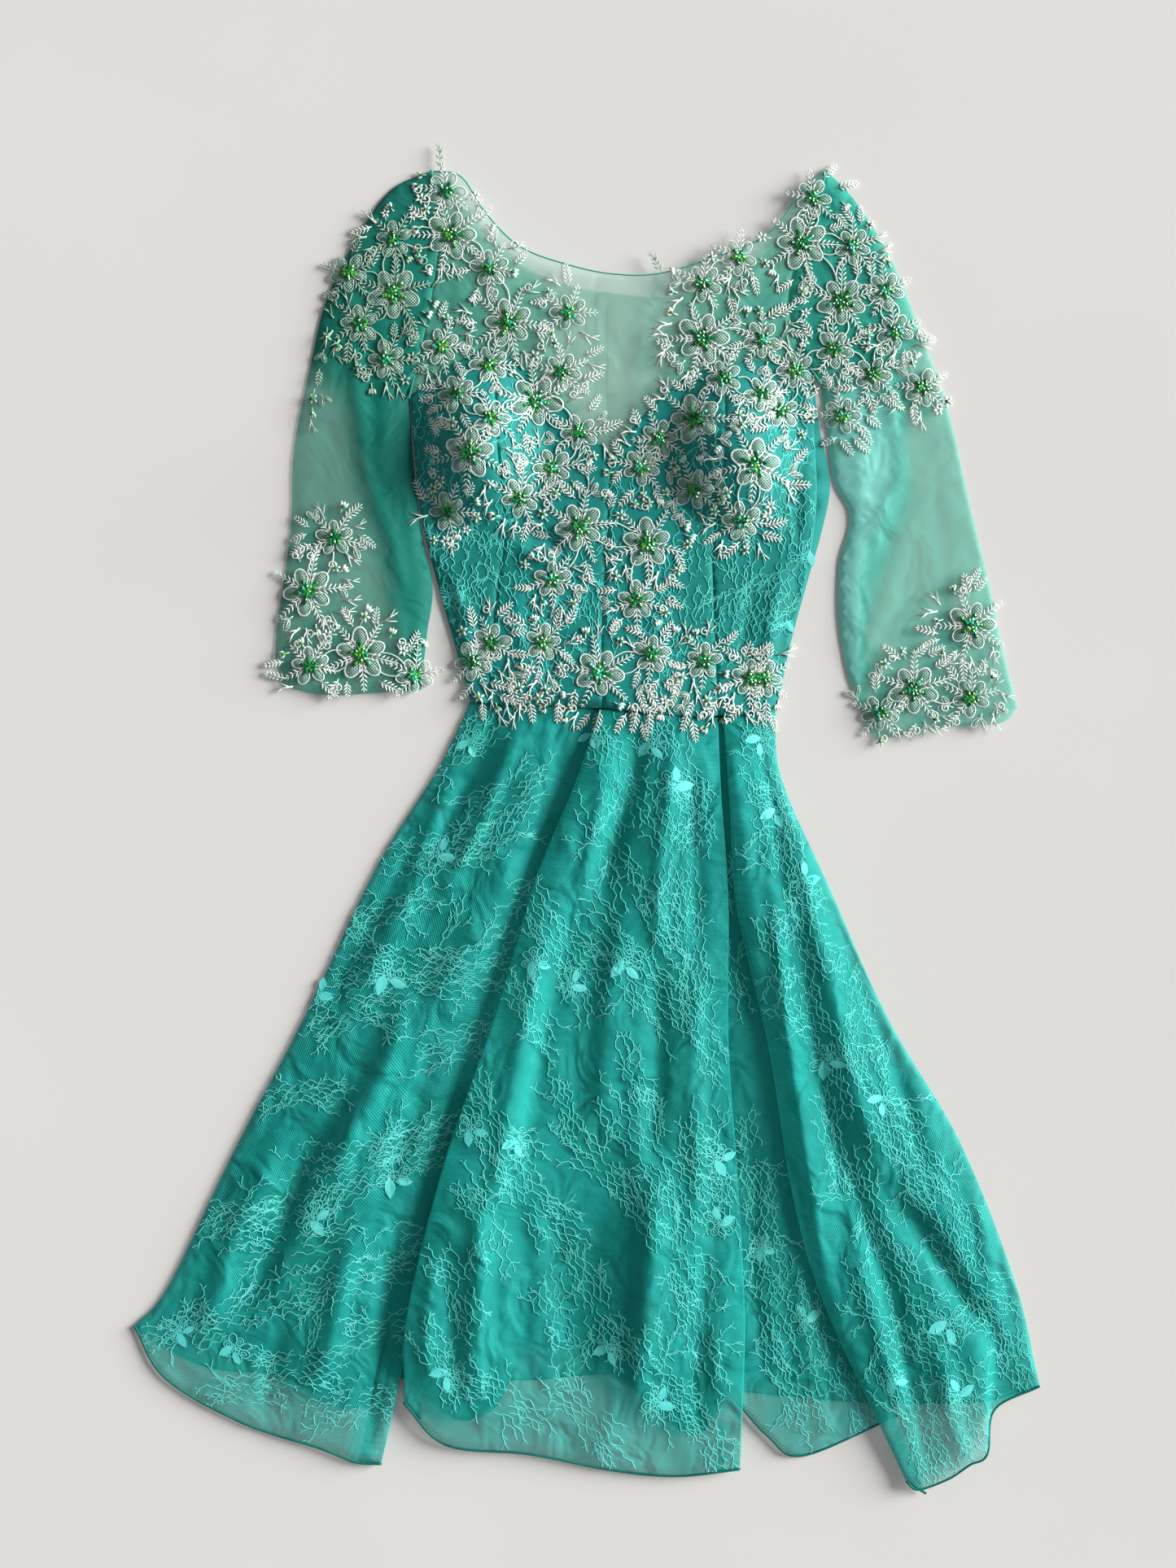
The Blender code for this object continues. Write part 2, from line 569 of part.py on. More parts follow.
def make_bodice():
    waist = smooth(WAIST_SEAM, 2)
    side_left, side_right = smooth(SIDE_LEFT, 2), smooth(SIDE_RIGHT, 2)
    princess_left, princess_right = smooth(PRINCESS_LEFT, 2), smooth(PRINCESS_RIGHT, 2)
    centre = smooth(CENTRE_FRONT, 2)
    heart_left, heart_right = smooth(SWEETHEART_LEFT, 3), smooth(SWEETHEART_RIGHT, 3)
    seams = {
        "side_front_left": (side_left, princess_left, heart_left),
        "front_centre_left": (princess_left, centre, heart_left),
        "front_centre_right": (centre, princess_right, heart_right),
        "side_front_right": (princess_right, side_right, heart_right),
    }
    for name, (left, right, heart) in seams.items():
        top = [p for p in heart if left[0][0] + 3 < p[0] < right[0][0] - 3]
        bottom = [p for p in waist if left[-1][0] + 3 < p[0] < right[-1][0] - 3]
        outline = closed_outline([left[0]] + top + [right[0]], right, [right[-1]] + bottom[::-1] + [left[-1]],
                                 left[::-1])
        body_panel(name, outline, LACE_TEAL, 0.5, 14)

    top = ((-152, 360), (-80, 362), (14, 364), (120, 366), (194, 376))
    halves = {"left": (smooth(SIDE_LEFT, 2), True), "right": (smooth(BACK_SIDE_RIGHT, 2), False)}
    for half, (side, is_left) in halves.items():
        zip_edge = ZIP_X - ZIP_HALF_WIDTH if is_left else ZIP_X + ZIP_HALF_WIDTH
        upper = cut_at(top, zip_edge, is_left)
        lower = cut_at(WAIST_SEAM, zip_edge, is_left)
        neck = cut_at(smooth(BACK_NECK, 2), zip_edge, is_left)
        armhole = smooth(ARMHOLE_LEFT if is_left else ARMHOLE_RIGHT, 3)
        armhole = [(p[0] + (HIDDEN_EDGE if is_left else -HIDDEN_EDGE), p[1]) for p in armhole]
        shoulder = neck[0] if is_left else neck[-1]
        armhole = [p for p in armhole if p[1] < shoulder[1] - 5 and p[1] > side[0][1] + 8]
        if is_left:
            lower[0] = side[-1]
            upper[0] = side[0]
            bodice = closed_outline(upper, [upper[-1], lower[-1]], lower[::-1], side[::-1])
            yoke = closed_outline(neck, [neck[-1], upper[-1]], upper[::-1], [upper[0]] + armhole[::-1] + [neck[0]])
        else:
            lower[-1] = side[-1]
            upper[-1] = side[0]
            bodice = closed_outline(upper, side, lower[::-1], [lower[0], upper[0]])
            yoke = closed_outline(neck, [neck[-1]] + armhole + [upper[-1]], upper[::-1], [upper[0], neck[0]])
        panel("bodice_back_" + half, bodice, level(BACK_TOP), level(0.0), LACE_TEAL, 0.5,
              top_pitch=90, bottom_pitch=90)
        panel("yoke_back_" + half, yoke, level(BACK_TOP), level(0.0), ORGANZA_GREEN, 0.6,
              top_pitch=90, bottom_pitch=90)
    corner_y = between(BACK_NECK, ZIP_X)
    width = ZIP_HALF_WIDTH
    zip_outline = closed_outline([(ZIP_X - width, ZIP_FOOT_Y), (ZIP_X + width, ZIP_FOOT_Y),
                                  (ZIP_X + width, corner_y), (ZIP_X - width, corner_y),
                                  (ZIP_X - width, ZIP_FOOT_Y)])
    panel("back_zip", zip_outline, level(BACK_TOP), level(0.0), LINING_TEAL, 0.5, top_pitch=90, bottom_pitch=90)


def make_yoke():
    neck = smooth(NECK, 2)
    heart = smooth(SWEETHEART_LEFT, 3)[:-1] + smooth(SWEETHEART_RIGHT, 3)
    armhole_left, armhole_right = smooth(ARMHOLE_LEFT, 3), smooth(ARMHOLE_RIGHT, 3)
    inner_left = [p for p in armhole_left if heart[0][1] + 6 < p[1] < neck[0][1] - 3]
    inner_right = [p for p in armhole_right if heart[-1][1] + 6 < p[1] < neck[-1][1] - 3]
    outline = closed_outline(
        neck, [neck[-1]] + inner_right + [heart[-1]], heart[::-1], [heart[0]] + inner_left[::-1] + [neck[0]],
    )
    body_panel("yoke_front", outline, ORGANZA_GREEN, 0.6, 20)


def make_waist_applique():
    """The applique band over the waist seam, with a scalloped edge and raised flowers."""
    left, right = -109.0, 168.0
    count = 44
    top, bottom = [], []
    for step in range(count + 1):
        x = left + (right - left) * step / count
        scallop = abs(math.sin(math.pi * (x - left) / 34.0))
        top.append((x, BAND_TOP_Y + BAND_SCALLOP * scallop))
        bottom.append((x, between(WAIST_SEAM, x) - (94 - BAND_BOTTOM_Y) - BAND_SCALLOP * (1 - scallop) * 0.9))
    outline = closed_outline(top, [top[-1], bottom[-1]], bottom[::-1], [bottom[0], top[0]])
    flowers = flowers_on(outline)

    def under(x, y):
        over_the_pleats = BAND_LIFT * max(0.0, WAIST_Y - y)
        return body_height(x, max(y, WAIST_Y)) + BAND_CLEARANCE + over_the_pleats

    panel(
        "waist_applique", outline,
        top=lambda x, y: under(x, y) + BAND_WALL + relief(flowers, x, y),
        bottom=under, colour=APPLIQUE_WHITE, roughness=0.7, flowers=flowers, top_pitch=22, bottom_pitch=18,
    )


def make_sprig(name, root_x, root_y, length, degrees, leaf):
    """A free sprig of corded applique: a stem with a pair of leaves on each side and one at its tip."""
    ahead = Vector((math.cos(math.radians(degrees)), math.sin(math.radians(degrees))))
    aside = Vector((-ahead.y, ahead.x))
    root = Vector((root_x, root_y))
    stem = 1.4
    side = [root + aside * stem]
    for share in (0.3, 0.62):
        joint = root + ahead * length * share
        side.append(joint + aside * stem)
        side.append(joint + (ahead * 0.7 + aside) * leaf * 0.62)
        side.append(joint + ahead * leaf * 0.42 + aside * stem)
    other = [point - aside * 2 * (point - root).dot(aside) for point in side]
    outline = side + [root + ahead * length] + other[::-1]
    outline = closed_outline(outline + outline[:1])
    bottom = body_height(root_x, root_y) - WALL
    panel(name, outline, level(bottom + SPRIG_THICKNESS), level(bottom), APPLIQUE_WHITE, 0.7)


for old in list(bpy.data.objects):
    bpy.data.objects.remove(old, do_unlink=True)

make_skirt()
make_bodice()
make_yoke()
make_waist_applique()
sleeve("sleeve_left", SLEEVE_LEFT)
sleeve("sleeve_right", SLEEVE_RIGHT)
for sprig_row in SPRIGS:
    make_sprig(*sprig_row)
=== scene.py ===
# Looks of an embroidered party dress with a sheer yoke, three-quarter sleeves and a pleated skirt, laid
# flat on its back. The tables are in millimetres and the meshes in metres. +Z is up and +Y points at
# the neck.
import math
import random

import bpy
from mathutils import Matrix, Vector
from mathutils.bvhtree import BVHTree
from mathutils.geometry import delaunay_2d_cdt


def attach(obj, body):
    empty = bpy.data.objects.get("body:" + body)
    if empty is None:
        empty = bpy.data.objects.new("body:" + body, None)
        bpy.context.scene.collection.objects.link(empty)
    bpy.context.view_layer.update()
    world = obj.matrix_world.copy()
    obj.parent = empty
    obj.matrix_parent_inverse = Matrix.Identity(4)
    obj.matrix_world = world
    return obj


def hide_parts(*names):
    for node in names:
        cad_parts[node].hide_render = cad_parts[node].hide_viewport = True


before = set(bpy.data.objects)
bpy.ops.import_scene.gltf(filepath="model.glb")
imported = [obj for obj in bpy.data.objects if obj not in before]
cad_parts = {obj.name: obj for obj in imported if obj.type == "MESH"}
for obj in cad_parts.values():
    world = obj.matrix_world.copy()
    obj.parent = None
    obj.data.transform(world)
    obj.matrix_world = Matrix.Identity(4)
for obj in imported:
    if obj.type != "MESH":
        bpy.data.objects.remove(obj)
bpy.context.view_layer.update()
bpy.ops.object.select_all(action="DESELECT")

# The camera. The dress was photographed from straight above, with the neck at the top.
CAMERA_HEIGHT = 2.5
VIEW_LENGTH = 1.3489
VIEW_MIDDLE = (0.0007, 0.0287)
camera = bpy.data.objects.new("camera", bpy.data.cameras.new("camera"))
camera.location = (*VIEW_MIDDLE, CAMERA_HEIGHT)
camera.data.lens = camera.data.sensor_width * CAMERA_HEIGHT / VIEW_LENGTH
bpy.context.scene.collection.objects.link(camera)
bpy.context.scene.camera = camera


# The surface under the dress, a plain pale sheet, and the light: soft daylight from the upper right
# over an even pale room.
def node(tree, kind, inputs=None, **settings):
    """Adds a node. inputs gives a value, or another node's output, for a socket's name or number."""
    made = tree.nodes.new(kind)
    for setting, value in settings.items():
        setattr(made, setting, value)
    for socket, value in (inputs or {}).items():
        if isinstance(value, bpy.types.NodeSocket):
            tree.links.new(value, made.inputs[socket])
        else:
            made.inputs[socket].default_value = value
    return made


def new_material(name, colour, roughness):
    """A material and its tree and shader, with a plain colour to start from."""
    material = bpy.data.materials.new(name)
    material.use_nodes = True
    shader = material.node_tree.nodes["Principled BSDF"]
    shader.inputs["Base Color"].default_value = (*colour, 1.0)
    shader.inputs["Roughness"].default_value = roughness
    shader.inputs["Specular IOR Level"].default_value = 0.2
    return material, material.node_tree, shader


def new_group(name, inputs, outputs):
    """An empty shader node group, with its input and output nodes."""
    group = bpy.data.node_groups.new(name, "ShaderNodeTree")
    for label, kind, value in inputs:
        socket = group.interface.new_socket(label, in_out="INPUT", socket_type=kind)
        if value is not None:
            socket.default_value = value
    for label, kind in outputs:
        group.interface.new_socket(label, in_out="OUTPUT", socket_type=kind)
    return group, group.nodes.new("NodeGroupInput"), group.nodes.new("NodeGroupOutput")


def uneven_tone():
    """A cloth colour that drifts softly towards a second one, with fine mottling."""
    group, given, result = new_group(
        "uneven tone",
        [("Vector", "NodeSocketVector", None), ("Colour", "NodeSocketColor", (0.5, 0.5, 0.5, 1.0)),
         ("Second", "NodeSocketColor", (0.3, 0.3, 0.3, 1.0)), ("Scale", "NodeSocketFloat", 9.0),
         ("Low", "NodeSocketFloat", 0.35), ("High", "NodeSocketFloat", 0.75)],
        [("Colour", "NodeSocketColor")],
    )
    broad = node(group, "ShaderNodeTexNoise", {
        "Vector": given.outputs["Vector"], "Scale": given.outputs["Scale"], "Detail": 3.0})
    share = node(group, "ShaderNodeMapRange", {
        "Value": broad.outputs["Fac"], "From Min": given.outputs["Low"],
        "From Max": given.outputs["High"]})
    mixed = node(group, "ShaderNodeMix", {
        "Factor": share.outputs["Result"], 6: given.outputs["Colour"], 7: given.outputs["Second"]},
        data_type="RGBA")
    group.links.new(mixed.outputs[2], result.inputs["Colour"])
    return group


UNEVEN_TONE = uneven_tone()


def dyed(name, roughness, colour, second, scale, low=0.35, high=0.75):
    """A material that drifts between two colours, its tree and shader, and the place on a piece."""
    material, tree, shader = new_material(name, colour, roughness)
    place = node(tree, "ShaderNodeTexCoord").outputs["Object"]
    tone = node(tree, "ShaderNodeGroup", {
        "Vector": place, "Colour": (*colour, 1.0), "Second": (*second, 1.0), "Scale": scale,
        "Low": low, "High": high}, node_tree=UNEVEN_TONE)
    tree.links.new(tone.outputs["Colour"], shader.inputs["Base Color"])
    return material, tree, shader, place


bpy.ops.mesh.primitive_plane_add(size=60.0, location=(0.0, 0.0, -0.0002))
floor = bpy.context.object
floor.name = "floor"
PALE_SURFACE = dyed("pale_surface", 0.75, (0.815, 0.80, 0.78), (0.785, 0.77, 0.748), 2.5)[0]
floor.data.materials.append(PALE_SURFACE)

world = bpy.data.worlds.new("room")
world.use_nodes = True
world.node_tree.nodes["Background"].inputs["Color"].default_value = (0.96, 0.98, 1.0, 1.0)
world.node_tree.nodes["Background"].inputs["Strength"].default_value = 0.22
bpy.context.scene.world = world
bpy.context.scene.view_settings.view_transform = "Standard"

daylight = bpy.data.objects.new("daylight", bpy.data.lights.new("daylight", "SUN"))
daylight.data.energy = 6.9
daylight.data.angle = math.radians(34)
daylight.data.color = (1.0, 0.99, 0.97)
daylight.location = (1.6, 0.4, 0.56)
daylight.rotation_euler = (-daylight.location).to_track_quat("-Z", "Y").to_euler()
bpy.context.scene.collection.objects.link(daylight)

# The pleated front of the skirt: four gores of embroidered net whose seams hide in the pleats. Each is
# one sheet, cut wide at the hem, gathered into the waist and turned under along its fold edges.
MM = 0.001
SEAM_GAP = 0.4
CLOTH = 0.3
WAIST_SEAM = ((-101, 100), (-60, 96), (13, 93), (82, 87), (112, 86), (163, 93))
PLEAT_RETURN = 20.0
PLEAT_DROP = 3.0
INNER_PLEAT_DROP = 2.4

# Each row is a fold line with its place (x, y) and height z at seven stations: the waist seam, the
# pleat tops, the hip, the thigh, mid skirt, the knee and the hem. The waist's y is the waist seam's.
LEFT_GORE = (
    ("side", (-100, 0, 2.4), (-128, 42, 2.4), (-181, -43, 2.4), (-243, -172, 2.6), (-302, -284, 2.6),
     (-360, -403, 2.4), (-389, -437, 2.2)),
    ("outer", (-85, 0, 4.2), (-106, 35, 6), (-148, -56, 7), (-201, -182, 8), (-250, -298, 8),
     (-309, -424, 6), (-362, -482, 3.2)),
    ("middle", (-61, 0, 6.6), (-78, 28, 9), (-112, -67, 10), (-159, -189, 11), (-204, -305, 12),
     (-252, -431, 10), (-296, -520, 4)),
    ("ridge", (-29, 0, 8.6), (-47, 21, 13), (-81, -77, 15), (-121, -154, 15), (-155, -277, 13),
     (-197, -424, 11), (-231, -541, 5.5)),
    ("channel", (-9, 0, 7), (-26, 14, 6.5), (-54, -84, 6.4), (-92, -200, 6.2), (-131, -312, 6.2),
     (-168, -431, 6.2), (-200, -553, 5.6)),
    ("inner", (19, 0, 6.4), (5, 14, 6.2), (-21, -84, 6.2), (-57, -200, 6.2), (-106, -312, 6.2),
     (-147, -431, 6.2), (-177, -555, 6)),
)
CENTRE_GORE = (
    ("left edge", (10, 0, 11.2), (-9, 33, 11.4), (-44, -53, 11.6), (-81, -176, 11.6), (-122, -294, 11.6),
     (-154, -424, 11.4), (-157, -502, 9)),
    ("turn", (21, 0, 12.4), (5, 30, 14), (-22, -56, 15), (-54, -180, 15), (-89, -299, 15),
     (-120, -424, 14), (-121, -538, 8)),
    ("inner", (40, 0, 12.2), (30, 26, 13.5), (13, -61, 13), (-12, -184, 13), (-37, -303, 14),
     (-57, -427, 16), (-50, -546, 7)),
    ("middle", (59, 0, 12.4), (55, 23, 15.5), (48, -65, 17), (37, -187, 16), (25, -306, 14),
     (16, -431, 12), (21, -560, 6)),
    ("outer", (82, 0, 11.6), (84, 20, 14.5), (84, -67, 15), (78, -190, 16), (73, -309, 17),
     (72, -434, 16), (76, -565, 6.5)),
    ("right edge", (112, 0, 8.8), (115, 17, 10.6), (121, -70, 11.2), (121, -193, 11.4), (129, -312, 11.4),
     (135, -436, 11.2), (131, -559, 8)),
)
INSET_GORE = (
    ("left", (103, 0, 3.9), (103, 16, 4.2), (105, -71, 4.8), (108, -194, 5), (112, -312, 5),
     (117, -434, 5), (123, -495, 3.6)),
    ("inner", (110, 0, 3.9), (117, 14, 4.4), (124, -72, 5.4), (133, -196, 6), (142, -313, 6),
     (153, -436, 6), (156, -532, 3.6)),
    ("outer", (120, 0, 3.9), (126, 14, 4.4), (140, -74, 5.2), (160, -197, 5.4), (177, -315, 5.4),
     (195, -438, 5.2), (186, -548, 3.6)),
    ("right", (127, 0, 3.9), (139, 13, 4.2), (156, -74, 4.6), (184, -197, 4.8), (216, -313, 4.8),
     (237, -434, 4.6), (268, -513, 3.4)),
)
RIGHT_GORE = (
    ("under edge", (116.5, 0, 8.6), (122, 14, 10.6), (128, -77, 11.2), (156, -200, 11.2),
     (175, -319, 11.2), (203, -417, 11), (274, -570, 8)),
    ("fold", (121, 0, 8.5), (131, 14, 13), (143, -75, 15), (170, -198, 15), (198, -316, 15.5),
     (220, -419, 14.5), (284, -576.2, 9)),
    ("inner", (128, 0, 7.4), (141, 17, 12), (160, -72, 14), (197, -196, 14.5), (234, -312, 13.5),
     (265, -420, 13), (310, -567, 9)),
    ("middle", (138, 0, 6.2), (152, 20, 10), (175, -70, 12), (223, -191, 13), (269, -305, 14),
     (300, -410, 13), (328, -555, 9)),
    ("flap", (147, 0, 5.2), (160, 24, 7.5), (188, -64, 9), (243, -182, 10), (293, -291, 11),
     (331, -418, 13), (343, -546, 9)),
    ("valley", (154, 0, 4.1), (163, 28, 5), (196, -60, 6), (257, -176, 6.5), (311, -285, 5.5),
     (349, -410, 3.4), (350, -509, 2.6)),
    ("side", (161.5, 0, 2.6), (167, 33, 2.4), (208, -60, 2.4), (260, -176, 2.4), (320, -278, 2.4),
     (367, -397, 2.4), (389, -489, 2.2)),
)

# Soft folds, from one end to the other. A negative rise is a trough.
SKIRT_CREASES = {
    "skirt_front_left": (
        # x0, y0, x1, y1, rise, half width
        (-58, 72, -118, -60, 2.6, 8),
        (-82, 70, -150, -60, -2.8, 9),
        (-120, 20, -190, -150, 2.6, 11),
        (-150, -20, -222, -160, -2.6, 10),
        (-157, -165, -210, -300, 4.6, 14),
        (-132, -190, -172, -330, -3.0, 12),
        (-205, -230, -262, -345, -2.6, 9),
        (-197, -361, -232, -480, 4.2, 13),
        (-274, -291, -330, -440, 3.4, 13),
        (-240, -280, -290, -420, -3.6, 12),
        (-160, -340, -186, -510, -3.0, 10),
        (-312, -300, -360, -420, -2.2, 10),
        (-262, -430, -276, -520, -2.6, 10),
    ),
    "skirt_front_centre": (
        (44, 62, 20, -50, -3.8, 10),
        (18, 50, -8, -70, 2.8, 9),
        (70, 60, 62, -110, 2.6, 9),
        (92, 40, 92, -110, -2.4, 9),
        (-10, -80, -50, -260, -2.8, 12),
        (-40, -130, -88, -350, 2.8, 11),
        (27, -90, 12, -260, 2.8, 12),
        (62, -130, 52, -330, -3.4, 12),
        (98, -150, 92, -360, 3.0, 12),
        (-138, -385, -136, -470, 2.6, 9),
        (-116, -370, -114, -480, -2.4, 9),
        (-94, -340, -92, -480, 4.4, 11),
        (-56, -350, -50, -500, -3.0, 12),
        (-22, -345, -18, -480, -4.6, 14),
        (2, -340, 6, -480, -3.8, 20),
        (50, -280, 50, -500, 6.0, 17),
        (101, -330, 99, -500, -4.0, 12),
        (18, -450, 18, -540, 2.4, 11),
        (112, -420, 110, -540, 2.2, 8),
    ),
    "skirt_front_inset": (
        (140, -280, 150, -470, -1.6, 8),
        (178, -330, 196, -500, 1.6, 9),
    ),
    "skirt_front_right": (
        (150, 60, 168, -60, -2.4, 8),
        (170, 20, 205, -120, 2.6, 10),
        (196, -110, 250, -290, 3.6, 12),
        (218, -90, 285, -285, -3.2, 11),
        (205, -230, 250, -400, -3.4, 11),
        (160, -80, 196, -360, 4.0, 8),
        (186, -120, 218, -360, -2.8, 8),
        (264, -330, 344, -436, -5.6, 13),
        (334, -330, 358, -440, 3.6, 11),
        (228, -360, 276, -520, 3.0, 11),
        (252, -380, 290, -540, -3.2, 10),
        (296, -450, 322, -540, 3.4, 11),
        (244, -90, 300, -230, 2.4, 10),
    ),
}


def smooth(points, steps):
    """Points on a curve through the given ones, with this many steps between each two."""
    vectors = [Vector(point) for point in points]
    ends = [vectors[0] * 2 - vectors[1]] + vectors + [vectors[-1] * 2 - vectors[-2]]
    curve = []
    for before, start, end, after in zip(ends, ends[1:], ends[2:], ends[3:]):
        for step in range(steps):
            t = step / steps
            curve.append(
                0.5 * (2 * start + (end - before) * t
                       + (2 * before - 5 * start + 4 * end - after) * t ** 2
                       + (3 * start - before - 3 * end + after) * t ** 3)
            )
    curve.append(vectors[-1])
    return curve


def between(line, x, along=0):
    """The other coordinate of a line of points where its first (along=0) or second (along=1) is x."""
    rows = sorted((point[along], point[1 - along]) for point in line)
    if x <= rows[0][0]:
        return rows[0][1]
    for (x0, y0), (x1, y1) in zip(rows, rows[1:]):
        if x <= x1:
            return y0 + (y1 - y0) * (x - x0) / (x1 - x0)
    return rows[-1][1]


def soft_step(t):
    t = max(0.0, min(1.0, t))
    return t * t * (3 - 2 * t)


FOLD_DEPTH = 1.5
FOLD_FADE = 0.25
FOLD_SHARPNESS = 1.6


def creased(folds, x, y):
    """What the soft folds add to the height at a point: each fades out at its ends and sides."""
    total = 0.0
    for x0, y0, x1, y1, rise, half_width in folds:
        run_x, run_y = x1 - x0, y1 - y0
        t = ((x - x0) * run_x + (y - y0) * run_y) / (run_x ** 2 + run_y ** 2)
        if -FOLD_FADE < t < 1 + FOLD_FADE:
            wander = 0.25 * half_width * math.sin(5.1 * t + x0)
            off = ((x - x0) * run_y - (y - y0) * run_x) / math.hypot(run_x, run_y) + wander
            fade = soft_step((t + FOLD_FADE) / (2 * FOLD_FADE))
            fade *= soft_step((1 + FOLD_FADE - t) / (2 * FOLD_FADE))
            total += rise * fade * math.exp(-FOLD_SHARPNESS * (off / half_width) ** 2)
    return total * FOLD_DEPTH


def turned_edge(edge, beside, drop):
    """The section of a fold edge, from the end of the hidden layer, round the fold, to the top."""
    corner = Vector(edge[:2])
    inwards = (Vector(beside[:2]) - corner).normalized()
    radius = drop / 2
    middle = corner + inwards * radius
    low, high = edge[2] - drop, edge[2]
    section = [(*(corner + inwards * PLEAT_RETURN * share), low) for share in (1, 0.75, 0.5, 0.25)]
    for angle in range(270, 89, -30):
        turn = math.radians(angle)
        place = middle + inwards * radius * math.cos(turn)
        section.append((*place, high - radius + radius * math.sin(turn)))
    return [Vector(point) for point in section]


cloth_area = {}


def belongs(piece):
    """Puts a piece on the dress's one body."""
    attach(piece, "root")


def finished(name, points, faces, flat, material, thickness=CLOTH, folds=()):
    """One thin shell of cloth from points in mm. flat gives each point's place on the flat cloth."""
    mesh = bpy.data.meshes.new(name)
    mesh.from_pydata([Vector(point) * MM for point in points], [], faces)
    cloth = mesh.uv_layers.new(name="cloth")
    for loop in mesh.loops:
        cloth.data[loop.index].uv = Vector(flat[loop.vertex_index][:2]) * MM
    mesh.materials.append(material)
    if folds:
        layers = mesh.attributes.new("layers", "FLOAT", "POINT")
        layers.data.foreach_set("value", [layered(folds, point[0], point[1]) for point in points])
    mesh.shade_smooth()
    piece = bpy.data.objects.new(name, mesh)
    bpy.context.scene.collection.objects.link(piece)
    cloth_area[name] = sum(face.area for face in mesh.polygons)
    wall = piece.modifiers.new("cloth", "SOLIDIFY")
    wall.thickness = thickness * MM
    wall.offset = 0.0
    bpy.context.view_layer.objects.active = piece
    bpy.ops.object.modifier_apply(modifier="cloth")
    belongs(piece)
    return piece


def length_of(line):
    return sum((b - a).length for a, b in zip(line, line[1:]))


STEPS_DOWN = 12
STEPS_ACROSS = 8
EDGE_FADE = 6
PUFF_START, PUFF_END = 14, 10


def gore(name, folds, left_drop, right_drop, left_puff):
    """One gore of the skirt front. Gives the piece, its hem line and the size of its cut.

    A drop is the height of a fold edge that turns under, and None is a plain edge. left_puff is how
    much higher than the solid the cloth stands along its left fold."""
    lines = []
    for row in folds:
        stations = [list(station) for station in row[1:]]
        stations[0][1] = between(WAIST_SEAM, stations[0][0]) - SEAM_GAP
        lines.append(smooth(stations, STEPS_DOWN))
    rows = []
    for station in range(len(lines[0])):
        across = [line[station].copy() for line in lines]
        to_hem = len(lines[0]) - 1 - station
        puff = left_puff * soft_step(station / PUFF_START) * soft_step(to_hem / PUFF_END)
        across[0].z += puff
        across[1].z += puff
        flat = smooth(across, STEPS_ACROSS)
        for place, point in enumerate(flat):
            edge_fade = soft_step(min(place, len(flat) - 1 - place) / EDGE_FADE)
            point.z += creased(SKIRT_CREASES[name], point.x, point.y) * edge_fade
        if left_drop:
            flat = turned_edge(flat[0], across[1], left_drop) + flat[1:]
        if right_drop:
            flat = flat[:-1] + turned_edge(flat[-1], across[-2], right_drop)[::-1]
        rows.append(flat)
    middle = [row[len(row) // 2] for row in rows]
    width = len(rows[0])
    points, cloth = [], []
    down = 0.0
    for station, row in enumerate(rows):
        if station:
            down += (middle[station] - middle[station - 1]).length
        across = -length_of(row) / 2
        for place, point in enumerate(row):
            if place:
                across += (point - row[place - 1]).length
            points.append(point)
            cloth.append((across, -down))
    faces = []
    for station in range(len(rows) - 1):
        for along in range(width - 1):
            corner = station * width + along
            faces.append((corner, corner + width, corner + width + 1, corner + 1))
    piece = finished(name + "_net", points, faces, cloth, NET)
    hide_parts(name)
    cut = (max(length_of(row) for row in rows) * MM, length_of(middle) * MM)
    return piece, rows[-1], cut


def woven_net():
    """Two families of threads that cross on the bias: a mask of the threads and their height."""
    group, given, result = new_group(
        "woven net",
        [("Vector", "NodeSocketVector", None), ("Pitch", "NodeSocketFloat", 0.001),
         ("Thread", "NodeSocketFloat", 0.2)],
        [("Threads", "NodeSocketFloat"), ("Height", "NodeSocketFloat")],
    )
    place = node(group, "ShaderNodeSeparateXYZ", {"Vector": given.outputs["Vector"]})
    masks, heights = [], []
    for sign in ("ADD", "SUBTRACT"):
        bias = node(group, "ShaderNodeMath", {0: place.outputs["X"], 1: place.outputs["Y"]},
                    operation=sign)
        turns = node(group, "ShaderNodeMath", {0: bias.outputs[0], 1: given.outputs["Pitch"]},
                     operation="DIVIDE")
        off = node(group, "ShaderNodeMath", {0: turns.outputs[0], 1: 0.5}, operation="PINGPONG")
        edge = node(group, "ShaderNodeMath", {0: given.outputs["Thread"], 1: 0.1}, operation="ADD")
        mask = node(group, "ShaderNodeMapRange", {
            "Value": off.outputs[0], "From Min": given.outputs["Thread"], "From Max": edge.outputs[0],
            "To Min": 1.0, "To Max": 0.0})
        height = node(group, "ShaderNodeMapRange", {
            "Value": off.outputs[0], "From Min": 0.0, "From Max": 0.5, "To Min": 1.0, "To Max": 0.0})
        masks.append(mask.outputs["Result"])
        heights.append(height.outputs["Result"])
    threads = node(group, "ShaderNodeMath", {0: masks[0], 1: masks[1]}, operation="MAXIMUM")
    height = node(group, "ShaderNodeMath", {0: heights[0], 1: heights[1]}, operation="MAXIMUM")
    group.links.new(threads.outputs[0], result.inputs["Threads"])
    group.links.new(height.outputs[0], result.inputs["Height"])
    return group


WOVEN_NET = woven_net()


def bumped(tree, shader, height, distance, strength):
    """Bumps a surface by a height, on top of what already bumps it."""
    bump = node(tree, "ShaderNodeBump", {"Height": height, "Distance": distance, "Strength": strength})
    earlier = shader.inputs["Normal"].links
    if earlier:
        tree.links.new(earlier[0].from_socket, bump.inputs["Normal"])
    tree.links.new(bump.outputs["Normal"], shader.inputs["Normal"])


